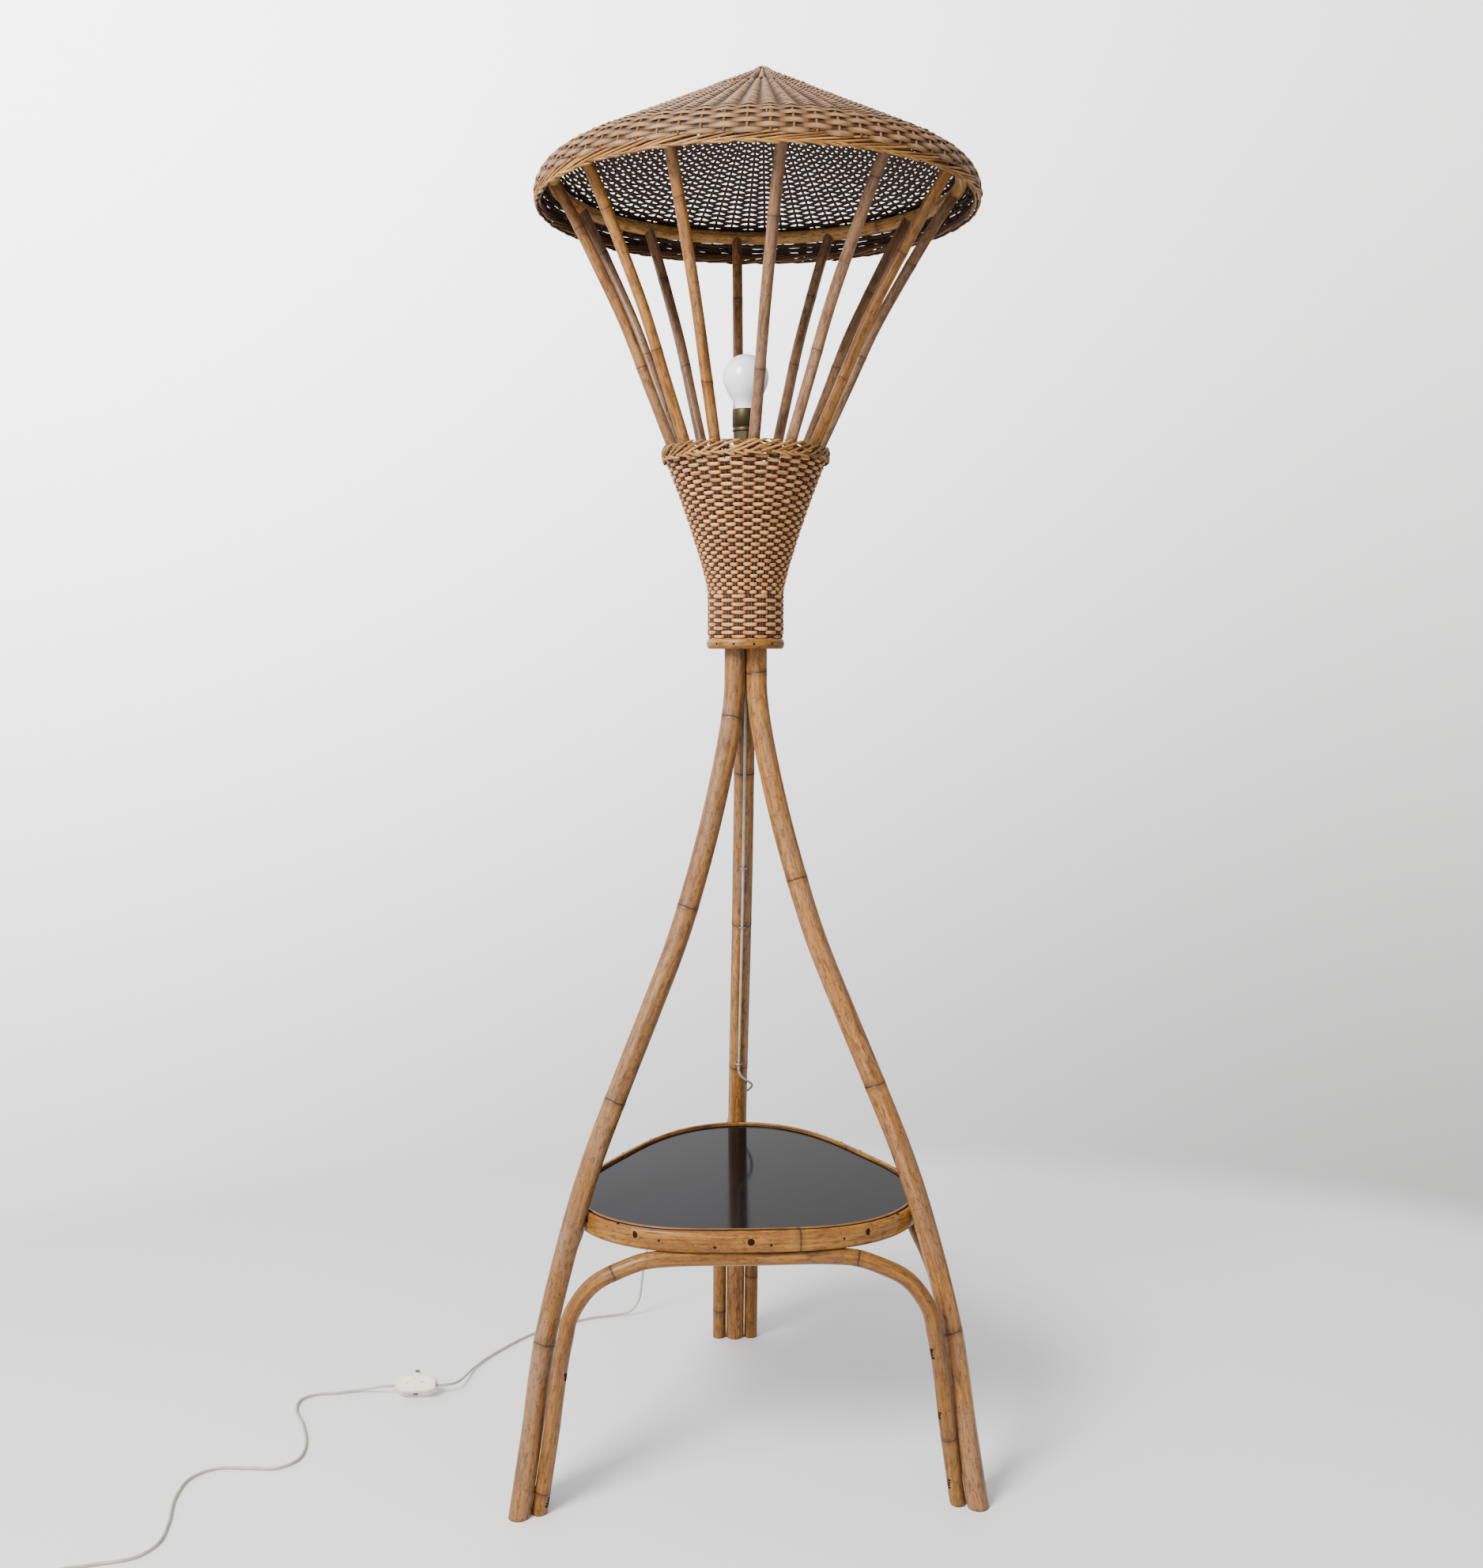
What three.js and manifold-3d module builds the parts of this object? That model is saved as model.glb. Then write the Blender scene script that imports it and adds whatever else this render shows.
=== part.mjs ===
// A rattan floor lamp: three bent poles rise from a spread foot into a trunk, carry a black table
// between them and a woven collar at their top, and twelve thin rods flare out of the collar
// to a hoop with a wide woven shade.

import * as THREE from 'three';
import { mergeVertices } from 'three/addons/utils/BufferGeometryUtils.js';
import Module from 'manifold-3d';

const wasm = await Module();
wasm.setup();

// Sizes are in millimetres. The trunk's axis is x = 0, y = 0 while the pieces are made,
// the floor is z = 0, and the lamp is looked at from -Y.

// Fits
const fitGap = 0.3;
const cutOverrun = 12;

// Poles
const legDiameter = 27;
const poleGap = 0.9;
const trunkTopHeight = 1235;
const footReach = 326.5;

// How a pole swings out from the trunk to the table's corner, and on from there to its foot:
// each pair holds the share of the way out and the share of the height
const upperBendShares = [
  [0.006, 0.975], [0.022, 0.935], [0.065, 0.861], [0.15, 0.743], [0.248, 0.63],
  [0.366, 0.514], [0.543, 0.376], [0.717, 0.245], [0.881, 0.116],
];
const lowerBendShares = [[0.518, 0.607], [0.765, 0.283]];

// Table
const tableHeight = 368;
const tableRadius = 215.5;
const tableCornerBulge = 20.5;
const rimHeight = 28;
const rimThickness = 10;
const rimRounding = 4.6;
const rimLip = 4;
const glassThickness = 5;

// Arches under the table
const archDiameter = 20;
const crownInset = 15;
const frontFootInset = 8;
const sideArchSpare = 0.35;
// A side arch's ends stand turned outwards from the line between its two poles' feet
const archFrontTurn = 32 * Math.PI / 180;
const archBackTurn = 60 * Math.PI / 180;
// An arch runs up beside the leg at these shares of its crown's height, and then bends over:
// each set holds the share of the way out that is left there, the share of the height, and on
// a side arch the share of the way outwards to its crown
const archSideShares = [0, 0.17, 0.334, 0.47, 0.607, 0.7, 0.775];
const frontBendShares = [
  [0.925, 0.862], [0.845, 0.915], [0.72, 0.958], [0.587, 0.99], [0.436, 1],
];
const sideBendShares = [
  [0.925, 0.845, 0], [0.845, 0.9, 0.08], [0.72, 0.95, 0.3], [0.587, 0.984, 0.7],
  [0.436, 0.998, 1],
];

// Woven collar at the trunk's top
const weaveThickness = 3.6;
const collarDrop = 177;
const collarNeckLength = 72;
const collarFlareLength = 168;
const collarMouthRadius = 100.5;
const collarFlarePower = 1.2;
const collarRingShares = [0.06, 0.15, 0.3, 0.6, 1];
const splitDrop = 50;
const collarBorderHeight = 11;
const collarBorderThickness = 6.5;
const baseRingHeight = 13;
const baseRingThickness = 3.2;
const baseRingDrop = 1.5;
const ringBulgeShare = 0.55;
const ringFlatShares = [0.3, 0.7];

// Rods and crown
const rodFootDiameter = 12;
const rodDiameter = 14;
const rodCount = 12;
const rodTurn = 3.5 * Math.PI / 180;
const rodBottomLift = 5;
const rodEase = 0.7;
const rodFlareShares = [
  [0.112, 0.13], [0.225, 0.26], [0.42, 0.485], [0.65, 0.703], [0.838, 0.87], [0.92, 0.936],
];
const crownShift = 14;
const hoopDiameter = 17;
const hoopSeatAngle = 55 * Math.PI / 180;

// Woven shade
const shadeRadius = 277;
const shoulderRise = 309;
const shoulderRadius = 40.4;
const shadeSlope = 27.1 * Math.PI / 180;
const shadeThickness = 5;
const openingsAround = 12;
const openingRings = 3;
const openingReachShares = [0.15, 0.93];
const openingLengthShare = 0.72;
const openingWidthShare = 0.36;
const shadeBorderHeight = 16;
const shadeBorderThickness = 12;
const knotRadius = 15;
const knotHeight = 5;
const knotShares = [0.9, 0.35, 0.6, 0.7];

// Block and nipple on the trunk
const blockRadius = 34;
const blockHeight = 18;
const screwRadius = 2;
const screwHeadRadius = 4;
const screwHeadHeight = 2.4;
const screwLength = 30;
const nippleRadius = 5;
const nippleBoreRadius = 3.5;
const nippleEngagement = 9;
const nutAcross = 17;
const nutHeight = 4;

// Lampholder
const nippleReach = 34.7;
const holderShellLength = 27.5;
const holderCover = 12.3;
const holderOverlap = 4.8;
const holderWall = 1.2;
const holderNeckRadius = 8;
const holderNeckHeight = 7;
const holderConeHeight = 10;
const insulatorLift = 4;
const insulatorHeight = 11;
const threadSleeveWall = 0.5;
const contactRadius = 3.5;
const contactHeight = 3.6;

// Bulb
const bulbRadius = 28.5;
const bulbGlassHeight = 80;
const bulbGlassThickness = 1;
const bulbNeckStep = 0.4;
const bulbNeckClear = 1.7;
const bulbWaistRadius = 18.6;
const bulbWaistRise = 11;
const bulbBallStart = -40 * Math.PI / 180;
const bulbCapRadius = 13.2;
const bulbCapHeight = 25;
const bulbCapBaseRadius = 7;
const bulbCapBaseHeight = 5;
const bulbTipRadius = 4.5;
const bulbTipHeight = 2.5;

// Cord and its clips
const cordDiameter = 4;
const clipWireDiameter = 1.6;
const clipSpread = 3.4;
const clipBendShares = [[-1, 0], [-1, 0.7], [-0.45, 1], [0.45, 1], [1, 0.7], [1, 0]];
const clipShares = [0.631, 0.5, 0.164];

// The free cord's loose turn round the back pole, after the last clip: each place holds its drop
// below the clip, the angle round the pole in degrees and the share of the clipped cord's distance
const cordWrap = [
  [13, 0, 1], [21, 12, 1.03], [30, 38, 1.14], [40, 68, 1.24], [52, 98, 1.32],
  [65, 128, 1.4], [77, 157, 1.5], [88, 182, 1.7],
];

// The free cord's way on from there, down to the floor and to the switch
const cordToSwitch = [
  [-6, 272, 377], [-12, 281, 356], [-24, 293, 328], [-45, 309, 294], [-74, 328, 253],
  [-103, 347, 206], [-126, 363, 156], [-138, 377, 108], [-144, 389, 66], [-149, 398, 30],
  [-162, 403, 9], [-184, 403, 3.2],
  [-226, 393, 2.4], [-272, 369, 2.4], [-312, 340, 2.4], [-345, 300, 2.4], [-373, 258, 2.6],
  [-388, 224, 4], [-394.5, 198, 6.9], [-400, 174.5, 10.4], [-408.5, 158, 13.7],
];

// The free cord's way from the switch to its coil, all of it on the floor
const cordToCoil = [
  [-508, 153.5, 13.6], [-527, 161, 7], [-548, 164, 3], [-575, 159, 2.4], [-600, 157, 2.4],
  [-618, 142, 2.4], [-618, 113, 2.4], [-599, 70, 2.4], [-583, 17, 2.4], [-584, -22, 2.4],
  [-606, -42, 2.4], [-640, -41, 2.4], [-684, -40, 2.4], [-710, -62, 2.4], [-715, -108, 2.4],
  [-705, -167, 2.4], [-704, -208, 2.4], [-721, -235, 2.4], [-760, -247, 2.4],
  [-796, -255, 2.4], [-820, -268, 2.6],
];

// The length that is put away: a coil of two layers, tied, with the plug beside it
const coilX = -800;
const coilY = -308;
const coilStartAngle = 170 * Math.PI / 180;
const coilEndAngle = 270 * Math.PI / 180;
const coilWholeTurns = 6;
const coilClimbTurns = 0.5;
const coilTurnGap = 0.6;
const coilMiddleDiameters = 5.5;
const tieWidth = 7;
const tieThickness = 0.8;
const tieAngle = 40 * Math.PI / 180;

// The cord's tail, from the coil's last turn to the plug
const cordTail = [[-784, -337.4, 7.4], [-773, -337.5, 6.7]];

// Switch on the cord
const switchLength = 57;
const switchWidth = 24;
const switchThickness = 20;
const switchEndWidth = 15;
const switchEndLength = 9;
const switchRounding = 2;
const switchCordHold = 7;
const switchStraight = 11;
const switchTilt = 45 * Math.PI / 180;
const switchX = -458.5;
const switchY = 150.5;
const switchHeight = 15.6;
const switchScrewSpacing = 21;
const switchScrewRadius = 2.4;
const switchScrewDepth = 3;
const switchScrewLength = 13;
const barWidth = 6;
const barReach = 9;
const barTipLength = 3.5;
const barFlush = 0.5;

// Plug
const plugLength = 34;
const plugWidth = 26;
const plugThickness = 13;
const plugTailWidth = 11;
const plugRounding = 2;
const plugSleeveLength = 22;
const plugSleeveRadius = 4.4;
const plugSleeveWall = 1.1;
const plugX = -722;
const plugY = -337.5;
const pinRadius = 2;
const pinLength = 19;
const pinSpacing = 18.6;
const pinHold = 12;

// Sides and steps of the round pieces
const poleSides = 10;
const archSides = 8;
const rodSides = 8;
const lampCordPlaces = 16;
const cordSides = 8;
const coilSides = 6;
const clipSteps = 10;
const switchCordSteps = 44;
const coilCordSteps = 34;
const tailSteps = 8;
const coilSteps = 24;
const legSteps = 24;
const archSteps = 26;
const tableSides = 42;
const shadeSides = 36;
const collarSides = 32;
const turnedSides = 16;

// Heights that follow from these sizes
const collarBottomHeight = trunkTopHeight - collarDrop;
const collarNeckHeight = collarBottomHeight + collarNeckLength;
const collarMouthHeight = collarNeckHeight + collarFlareLength;
const splitHeight = collarBottomHeight - splitDrop;
const shoulderHeight = collarMouthHeight + shoulderRise;
const blockBottom = trunkTopHeight + fitGap;
const blockTop = blockBottom + blockHeight;
const holderBottom = blockTop + nippleReach;
const insulatorBottom = holderBottom + nippleEngagement + insulatorLift;
const insulatorTop = insulatorBottom + insulatorHeight;
const contactTop = insulatorTop + fitGap + contactHeight;
const bulbBase = contactTop + fitGap + bulbTipHeight;
const bulbCapTop = bulbBase + bulbCapHeight;
const holderTopHeight = bulbCapTop + holderCover;
const clipHeights = clipShares.map((share) => tableHeight + share * (splitHeight - tableHeight));
const lastClipHeight = clipHeights[clipHeights.length - 1];

// Three poles that nearly touch, with room for the cord between them
const trunkCircleRadius = Math.max(
  (legDiameter + poleGap) / Math.sqrt(3),
  (legDiameter + cordDiameter) / 2 + 2 * fitGap,
);

// The lampholder's parts fit round the bulb's cap, one in the other
const bulbNeckRadius = bulbCapRadius + bulbNeckStep;
const bulbSleeveRadius = bulbCapRadius + fitGap;
const holderCapInner = bulbSleeveRadius + threadSleeveWall + fitGap;
const holderCapRadius = holderCapInner + holderWall;
const holderShellRadius = holderCapRadius + fitGap + holderWall;

// Colours
const poleColour = 0xc08c50;
const archColour = 0xb98245;
const rodColour = 0xb07c48;
const weaveColour = 0xb48c6a;
const borderColour = 0xb98a52;
const rimColour = 0xcfa258;
const brassColour = 0x6b5a2a;
const steelColour = 0x9a9a98;
const creamColour = 0xe8e2cf;
const blackColour = 0x16161a;
const glassColour = 0xe4e4ec;

function finish(colour, roughness, metalness = 0) {
  return new THREE.MeshStandardMaterial({ color: colour, roughness, metalness });
}

const rattan = () => finish(poleColour, 0.45);
const weave = () => finish(weaveColour, 0.7);
const brass = () => finish(brassColour, 0.4, 0.9);
const steel = () => finish(steelColour, 0.35, 1);
const cream = () => finish(creamColour, 0.5);
const blackPlastic = () => finish(blackColour, 0.4);

// Solids and geometries

function solidOf(geometry) {
  const bare = new THREE.BufferGeometry();
  bare.setAttribute('position', geometry.getAttribute('position').clone());
  if (geometry.index) bare.setIndex(geometry.index.clone());
  const merged = mergeVertices(bare, 1e-3);
  const triangles = [];
  for (let i = 0; i < merged.index.count; i += 3) {
    const [a, b, c] = [0, 1, 2].map((k) => merged.index.getX(i + k));
    if (a !== b && b !== c && c !== a) triangles.push(a, b, c);
  }
  return new wasm.Manifold(new wasm.Mesh({
    numProp: 3,
    vertProperties: new Float32Array(merged.getAttribute('position').array),
    triVerts: new Uint32Array(triangles),
  }));
}

function geometryOf(solid) {
  const mesh = solid.getMesh();
  const geometry = new THREE.BufferGeometry();
  const positions = new Float32Array(mesh.vertProperties);
  geometry.setAttribute('position', new THREE.BufferAttribute(positions, 3));
  geometry.setIndex(Array.from(mesh.triVerts));
  geometry.computeVertexNormals();
  return geometry;
}

function cut(geometry, ...cutters) {
  let solid = solidOf(geometry);
  for (const cutter of cutters) solid = solid.subtract(solidOf(cutter));
  return geometryOf(solid);
}

function join(...geometries) {
  return geometryOf(geometries.map(solidOf).reduce((whole, solid) => whole.add(solid)));
}

function between(low, high, share) {
  return low + (high - low) * share;
}

function polygon(radius, sides) {
  const corners = [];
  for (let i = 0; i < sides; i += 1) {
    const angle = 2 * Math.PI * (i + 0.5) / sides;
    corners.push(new THREE.Vector2(radius * Math.cos(angle), radius * Math.sin(angle)));
  }
  return new THREE.Shape(corners);
}

// A tube of round section that runs through the given points, with its steps shared out
// alike between them, so that they are short where the points lie close, in the bends
function tube(points, diameter, sides, steps) {
  const curve = new THREE.CatmullRomCurve3(points, false, 'centripetal');
  curve.getUtoTmapping = (share) => share;
  return new THREE.ExtrudeGeometry(polygon(diameter / 2, sides), {
    steps, bevelEnabled: false, extrudePath: curve,
  });
}

// A tube with one ring of points for each place on its line, turned alike to a given direction
function ringTube(line, diameters, sides, facing) {
  const positions = [];
  const triangles = [];
  line.forEach((place, i) => {
    const before = line[Math.max(i - 1, 0)];
    const after = line[Math.min(i + 1, line.length - 1)];
    const along = after.clone().sub(before).normalize();
    const side = facing.clone().cross(along).normalize();
    const above = along.clone().cross(side);
    for (let k = 0; k < sides; k += 1) {
      const angle = 2 * Math.PI * (k + 0.5) / sides;
      const corner = place.clone()
        .addScaledVector(side, diameters[i] / 2 * Math.cos(angle))
        .addScaledVector(above, diameters[i] / 2 * Math.sin(angle));
      positions.push(corner.x, corner.y, corner.z);
      const [a, b] = [i * sides + k, i * sides + (k + 1) % sides];
      if (i > 0) triangles.push(a - sides, b - sides, b, a - sides, b, a);
    }
  });
  const end = (line.length - 1) * sides;
  for (let k = 1; k < sides - 1; k += 1) {
    triangles.push(0, k + 1, k, end, end + k, end + k + 1);
  }
  const geometry = new THREE.BufferGeometry();
  geometry.setAttribute('position', new THREE.Float32BufferAttribute(positions, 3));
  geometry.setIndex(triangles);
  geometry.computeVertexNormals();
  return geometry;
}

// A turned body from pairs of radius and height that go up its outside
function lathe(profile, sides) {
  const points = profile.map(([radius, height]) => new THREE.Vector2(radius, height));
  return new THREE.LatheGeometry(points, sides).rotateX(Math.PI / 2);
}

// A turned wall from its outer and its inner side, both given from the bottom up
function latheWall(outer, inner, sides) {
  return lathe([inner[0], ...outer, ...inner.slice().reverse()], sides);
}

function disc(radius, bottom, top, sides = turnedSides) {
  return lathe([[0, bottom], [radius, bottom], [radius, top], [0, top]], sides);
}

function pipe(outerRadius, innerRadius, bottom, top, sides = turnedSides) {
  return latheWall(
    [[outerRadius, bottom], [outerRadius, top]],
    [[innerRadius, bottom], [innerRadius, top]],
    sides,
  );
}

// An upright prism of the given outline, with its upper and lower edges rounded
function prism(outline, height, rounding = 0) {
  return new THREE.ExtrudeGeometry(outline, {
    depth: height - 2 * rounding,
    bevelEnabled: rounding > 0,
    bevelThickness: rounding,
    bevelSize: rounding,
    bevelOffset: -rounding,
    bevelSegments: 2,
  }).translate(0, 0, rounding);
}

// Everything of the lamp
const lamp = new THREE.Group();

function add(name, geometry, material, parent = lamp) {
  const mesh = new THREE.Mesh(geometry, material);
  mesh.name = name;
  parent.add(mesh);
  return mesh;
}

// The three poles

const tableCornerRadius = tableRadius + tableCornerBulge;
const tableSideRadius = tableRadius - tableCornerBulge;
const legAtTable = tableCornerRadius + fitGap + legDiameter / 2;
const rimMiddleHeight = tableHeight - rimHeight / 2;
const legNames = ['leg_back', 'leg_front_left', 'leg_front_right'];
const legAngles = legNames.map((name, i) => Math.PI / 2 + i * 2 * Math.PI / 3);

// A pole's centre line in its own upright plane: straight in the trunk, then an S bend that
// lies against the table's corner, and a last sweep to the foot
function legLine() {
  const outline = [
    [trunkCircleRadius, trunkTopHeight],
    [trunkCircleRadius, between(splitHeight, trunkTopHeight, 0.5)],
    [trunkCircleRadius, splitHeight],
  ];
  for (const [out, rise] of upperBendShares) {
    outline.push([
      between(trunkCircleRadius, legAtTable, out),
      between(rimMiddleHeight, splitHeight, rise),
    ]);
  }
  outline.push([legAtTable, rimMiddleHeight]);
  for (const [out, rise] of lowerBendShares) {
    outline.push([between(legAtTable, footReach, out), rimMiddleHeight * rise]);
  }
  const [lastOut, lastRise] = lowerBendShares[lowerBendShares.length - 1];
  const footLean = (footReach - legAtTable) * (1 - lastOut) / (rimMiddleHeight * lastRise);
  outline.push([footReach, 0], [footReach + footLean * cutOverrun, -cutOverrun]);
  return outline.map(([out, height]) => new THREE.Vector3(out, 0, height));
}

const legCurve = new THREE.CatmullRomCurve3(legLine(), false, 'centripetal');

// The pole's centre point, its direction and its underside's direction at a height
function legAt(height) {
  let [low, high] = [0, 1];
  while (high - low > 1e-7) {
    const middle = (low + high) / 2;
    if (legCurve.getPoint(middle).z > height) low = middle;
    else high = middle;
  }
  const along = legCurve.getTangent(low);
  return { centre: legCurve.getPoint(low), along, under: new THREE.Vector3(along.z, 0, -along.x) };
}

const floorCutter = new THREE.BoxGeometry(
  4 * footReach, 4 * footReach, 2 * cutOverrun,
).translate(0, 0, -cutOverrun);

function pilotHole() {
  const depth = screwLength - blockHeight + fitGap;
  return disc(screwRadius + fitGap, -depth, cutOverrun, rodSides)
    .translate(trunkCircleRadius, 0, trunkTopHeight);
}

function legGeometry(diameter) {
  return tube(legLine(), diameter, poleSides, legSteps);
}

function addLegs() {
  const geometry = cut(legGeometry(legDiameter), floorCutter, pilotHole());
  legNames.forEach((name, i) => {
    add(name, geometry.clone(), rattan()).rotation.z = legAngles[i];
  });
}

// The table: a soft three cornered rim round a board with a black glass

function tableOutline(inset) {
  const corners = [];
  for (let i = 0; i < tableSides; i += 1) {
    const angle = 2 * Math.PI * i / tableSides;
    const bulge = tableCornerBulge * Math.cos(3 * (angle - legAngles[0]));
    const radius = tableRadius + bulge - inset;
    corners.push(new THREE.Vector2(radius * Math.cos(angle), radius * Math.sin(angle)));
  }
  return new THREE.Shape(corners);
}

function addTable() {
  const bottom = tableHeight - rimHeight;
  const glassBottom = tableHeight - rimLip - glassThickness;
  const opening = prism(tableOutline(rimThickness), rimHeight + 2 * cutOverrun)
    .translate(0, 0, -cutOverrun);
  const rim = cut(prism(tableOutline(0), rimHeight, rimRounding), opening)
    .translate(0, 0, bottom);
  const seats = legAngles.map((angle) => legGeometry(legDiameter + 2 * fitGap).rotateZ(angle));
  add('table_rim', cut(rim, ...seats), finish(rimColour, 0.4));

  const boardHeight = glassBottom - fitGap - bottom;
  const board = prism(tableOutline(rimThickness + fitGap), boardHeight).translate(0, 0, bottom);
  add('table_board', board, finish(blackColour, 0.6));

  const glass = prism(tableOutline(rimThickness + fitGap), glassThickness);
  add('table_glass', glass.translate(0, 0, glassBottom), finish(blackColour, 0.08));
}

// The arches: bent poles that stand beside the feet and carry the board on their crowns

const archGap = (legDiameter + archDiameter) / 2 + fitGap;
const crownFront = tableSideRadius - crownInset;
const crownHeight = tableHeight - rimHeight - fitGap - archDiameter / 2;

// Each place on an arch's end holds how far it is along the line between the two feet from
// that line's middle, how far outwards from the lamp's middle, and how high. The front arch
// leans in one plane
function frontArchEnd() {
  const footFront = footReach * Math.sin(Math.PI / 6) - frontFootInset;
  const half = archSideShares.map((rise) => {
    const beside = legAt(crownHeight * rise).centre.x * Math.cos(Math.PI / 6);
    return [beside - archGap, rise];
  });
  const [lastOut] = half[half.length - 1];
  for (const [out, rise] of frontBendShares) half.push([lastOut * out, rise]);
  return half.map(([out, rise]) => [
    out, between(footFront, crownFront, rise), crownHeight * rise,
  ]);
}

// A side arch's end keeps its place beside the pole, and comes outwards in the bend
function sideArchEnd(turn) {
  const gap = archGap + sideArchSpare;
  const half = archSideShares.map((rise) => {
    const pole = legAt(crownHeight * rise).centre.x;
    return [
      pole * Math.cos(Math.PI / 6) - gap * Math.cos(turn),
      pole * Math.sin(Math.PI / 6) + gap * Math.sin(turn),
      crownHeight * rise,
    ];
  });
  const [lastOut, lastFront] = half[half.length - 1];
  for (const [out, rise, move] of sideBendShares) {
    half.push([lastOut * out, between(lastFront, crownFront, move), crownHeight * rise]);
  }
  return half;
}

function archLine(leftEnd, rightEnd) {
  const side = (end, sign) => {
    const [foot, next] = end;
    const below = (i) => foot[i] + (foot[i] - next[i]) * cutOverrun / next[2];
    return [[below(0), below(1), -cutOverrun], ...end].map(
      ([out, front, height]) => new THREE.Vector3(sign * out, -front, height),
    );
  };
  const crown = new THREE.Vector3(0, -crownFront, crownHeight);
  return [...side(leftEnd, -1), crown, ...side(rightEnd, 1).reverse()];
}

function addArches() {
  const front = frontArchEnd();
  const besideFrontPole = sideArchEnd(archFrontTurn);
  const besideBackPole = sideArchEnd(archBackTurn);
  const lines = {
    arch_front: archLine(front, front),
    arch_right: archLine(besideFrontPole, besideBackPole),
    arch_left: archLine(besideBackPole, besideFrontPole),
  };
  Object.entries(lines).forEach(([name, line], i) => {
    const geometry = cut(tube(line, archDiameter, archSides, archSteps), floorCutter);
    const mesh = add(name, geometry, finish(archColour, 0.45));
    mesh.rotation.z = i * 2 * Math.PI / 3;
  });
}

// The crown's hoop lies inside the shade's shoulder
const ovalCorners = 8;
const ovalReach = 1 / Math.cos(Math.PI / ovalCorners);
const shoulderCentreRadius = shadeRadius - shoulderRadius;
const hoopSeat = shoulderRadius - shadeThickness - fitGap - ovalReach * hoopDiameter / 2;
const hoopRadius = shoulderCentreRadius + hoopSeat * Math.cos(hoopSeatAngle);
const hoopHeight = shoulderHeight + hoopSeat * Math.sin(hoopSeatAngle);

// The woven collar, its braided border and the ring nailed round its foot

const collarNeckRadius = trunkCircleRadius + legDiameter / 2 + rodFootDiameter
  + 2 * fitGap + weaveThickness;

function collarRadius(height) {
  const rise = (height - collarNeckHeight) / (collarMouthHeight - collarNeckHeight);
  const flare = rise > 0 ? Math.pow(rise, collarFlarePower) : 0;
  return between(collarNeckRadius, collarMouthRadius, flare);
}

const collarHeights = [collarBottomHeight, collarNeckHeight];
for (const rise of collarRingShares) {
  collarHeights.push(between(collarNeckHeight, collarMouthHeight, rise));
}

// A rod lies inside the collar's wall, and above it flares out to the hoop's centre line: each
// place holds its way out from the axis, its height, its share of the crown's shift and the
// rod's diameter there
function rodPlaces() {
  const neckPlace = collarNeckRadius - weaveThickness - fitGap - rodFootDiameter / 2;
  const places = [[neckPlace, collarBottomHeight + rodBottomLift, 0, rodFootDiameter]];
  places.push([neckPlace, collarNeckHeight, 0, rodFootDiameter]);
  for (const height of collarHeights.slice(2)) {
    const rise = (height - collarNeckHeight) / (collarMouthHeight - collarNeckHeight);
    const thick = between(rodFootDiameter, rodDiameter, rise);
    const slope = (collarRadius(height + 1) - collarRadius(height - 1)) / 2;
    const lean = Math.sqrt(1 + slope * slope);
    const offset = weaveThickness + (thick / 2 + rodEase) * lean;
    places.push([collarRadius(height) - offset, height, 0, thick]);
  }
  const mouth = places[places.length - 1][0];
  for (const [out, rise] of [...rodFlareShares, [1, 1]]) {
    places.push([
      between(mouth, hoopRadius, out), between(collarMouthHeight, hoopHeight, rise), out,
      rodDiameter,
    ]);
  }
  return places;
}

// The border lies close round the rods, which lean out as they pass it
function borderInnerRadius(height) {
  const places = rodPlaces();
  const next = places.findIndex((place) => place[1] > height);
  const [low, high] = [places[next - 1], places[next]];
  const slope = (high[0] - low[0]) / (high[1] - low[1]);
  const shift = crownShift * between(low[2], high[2], (height - low[1]) / (high[1] - low[1]));
  const reach = (rodDiameter / 2 + rodEase) * Math.sqrt(1 + slope * slope);
  return low[0] + slope * (height - low[1]) + reach + shift;
}

function addCollar() {
  const outer = collarHeights.map((height) => [collarRadius(height), height]);
  const inner = collarHeights.map((height) => [collarRadius(height) - weaveThickness, height]);
  add('collar_weave', latheWall(outer, inner, collarSides), weave());

  const middle = collarMouthHeight + fitGap + collarBorderHeight / 2;
  const border = ovalRing(
    borderInnerRadius(middle + collarBorderHeight / 4) + collarBorderThickness / 2,
    middle,
    collarBorderThickness,
    collarBorderHeight,
    collarSides,
  );
  add('collar_border', border, finish(borderColour, 0.7));

  const ringBottom = collarBottomHeight - baseRingDrop;
  const ringInner = collarNeckRadius + fitGap;
  const ringOuter = ringInner + baseRingThickness;
  const bulge = between(ringInner, ringOuter, ringBulgeShare);
  const [flatBottom, flatTop] = ringFlatShares.map((share) => ringBottom + baseRingHeight * share);
  const ring = latheWall(
    [
      [bulge, ringBottom], [ringOuter, flatBottom],
      [ringOuter, flatTop], [bulge, ringBottom + baseRingHeight],
    ],
    [[ringInner, ringBottom], [ringInner, ringBottom + baseRingHeight]],
    collarSides,
  );
  add('collar_base_ring', ring, finish(rimColour, 0.45));
}

// A closed ring of oval section, whose flats lie at the given thickness and tallness
function ovalRing(radius, height, thickness, tallness, sides) {
  const outline = [];
  for (let i = 0; i <= ovalCorners; i += 1) {
    const angle = 2 * Math.PI * (i % ovalCorners + 0.5) / ovalCorners;
    outline.push([
      radius + ovalReach * thickness / 2 * Math.cos(angle),
      height + ovalReach * tallness / 2 * Math.sin(angle),
    ]);
  }
  return lathe(outline, sides);
}

// The hoop, and the rods that reach up to it

function hoopGeometry(diameter) {
  return ovalRing(hoopRadius, hoopHeight, diameter, diameter, shadeSides)
    .translate(crownShift, 0, 0);
}

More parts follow.
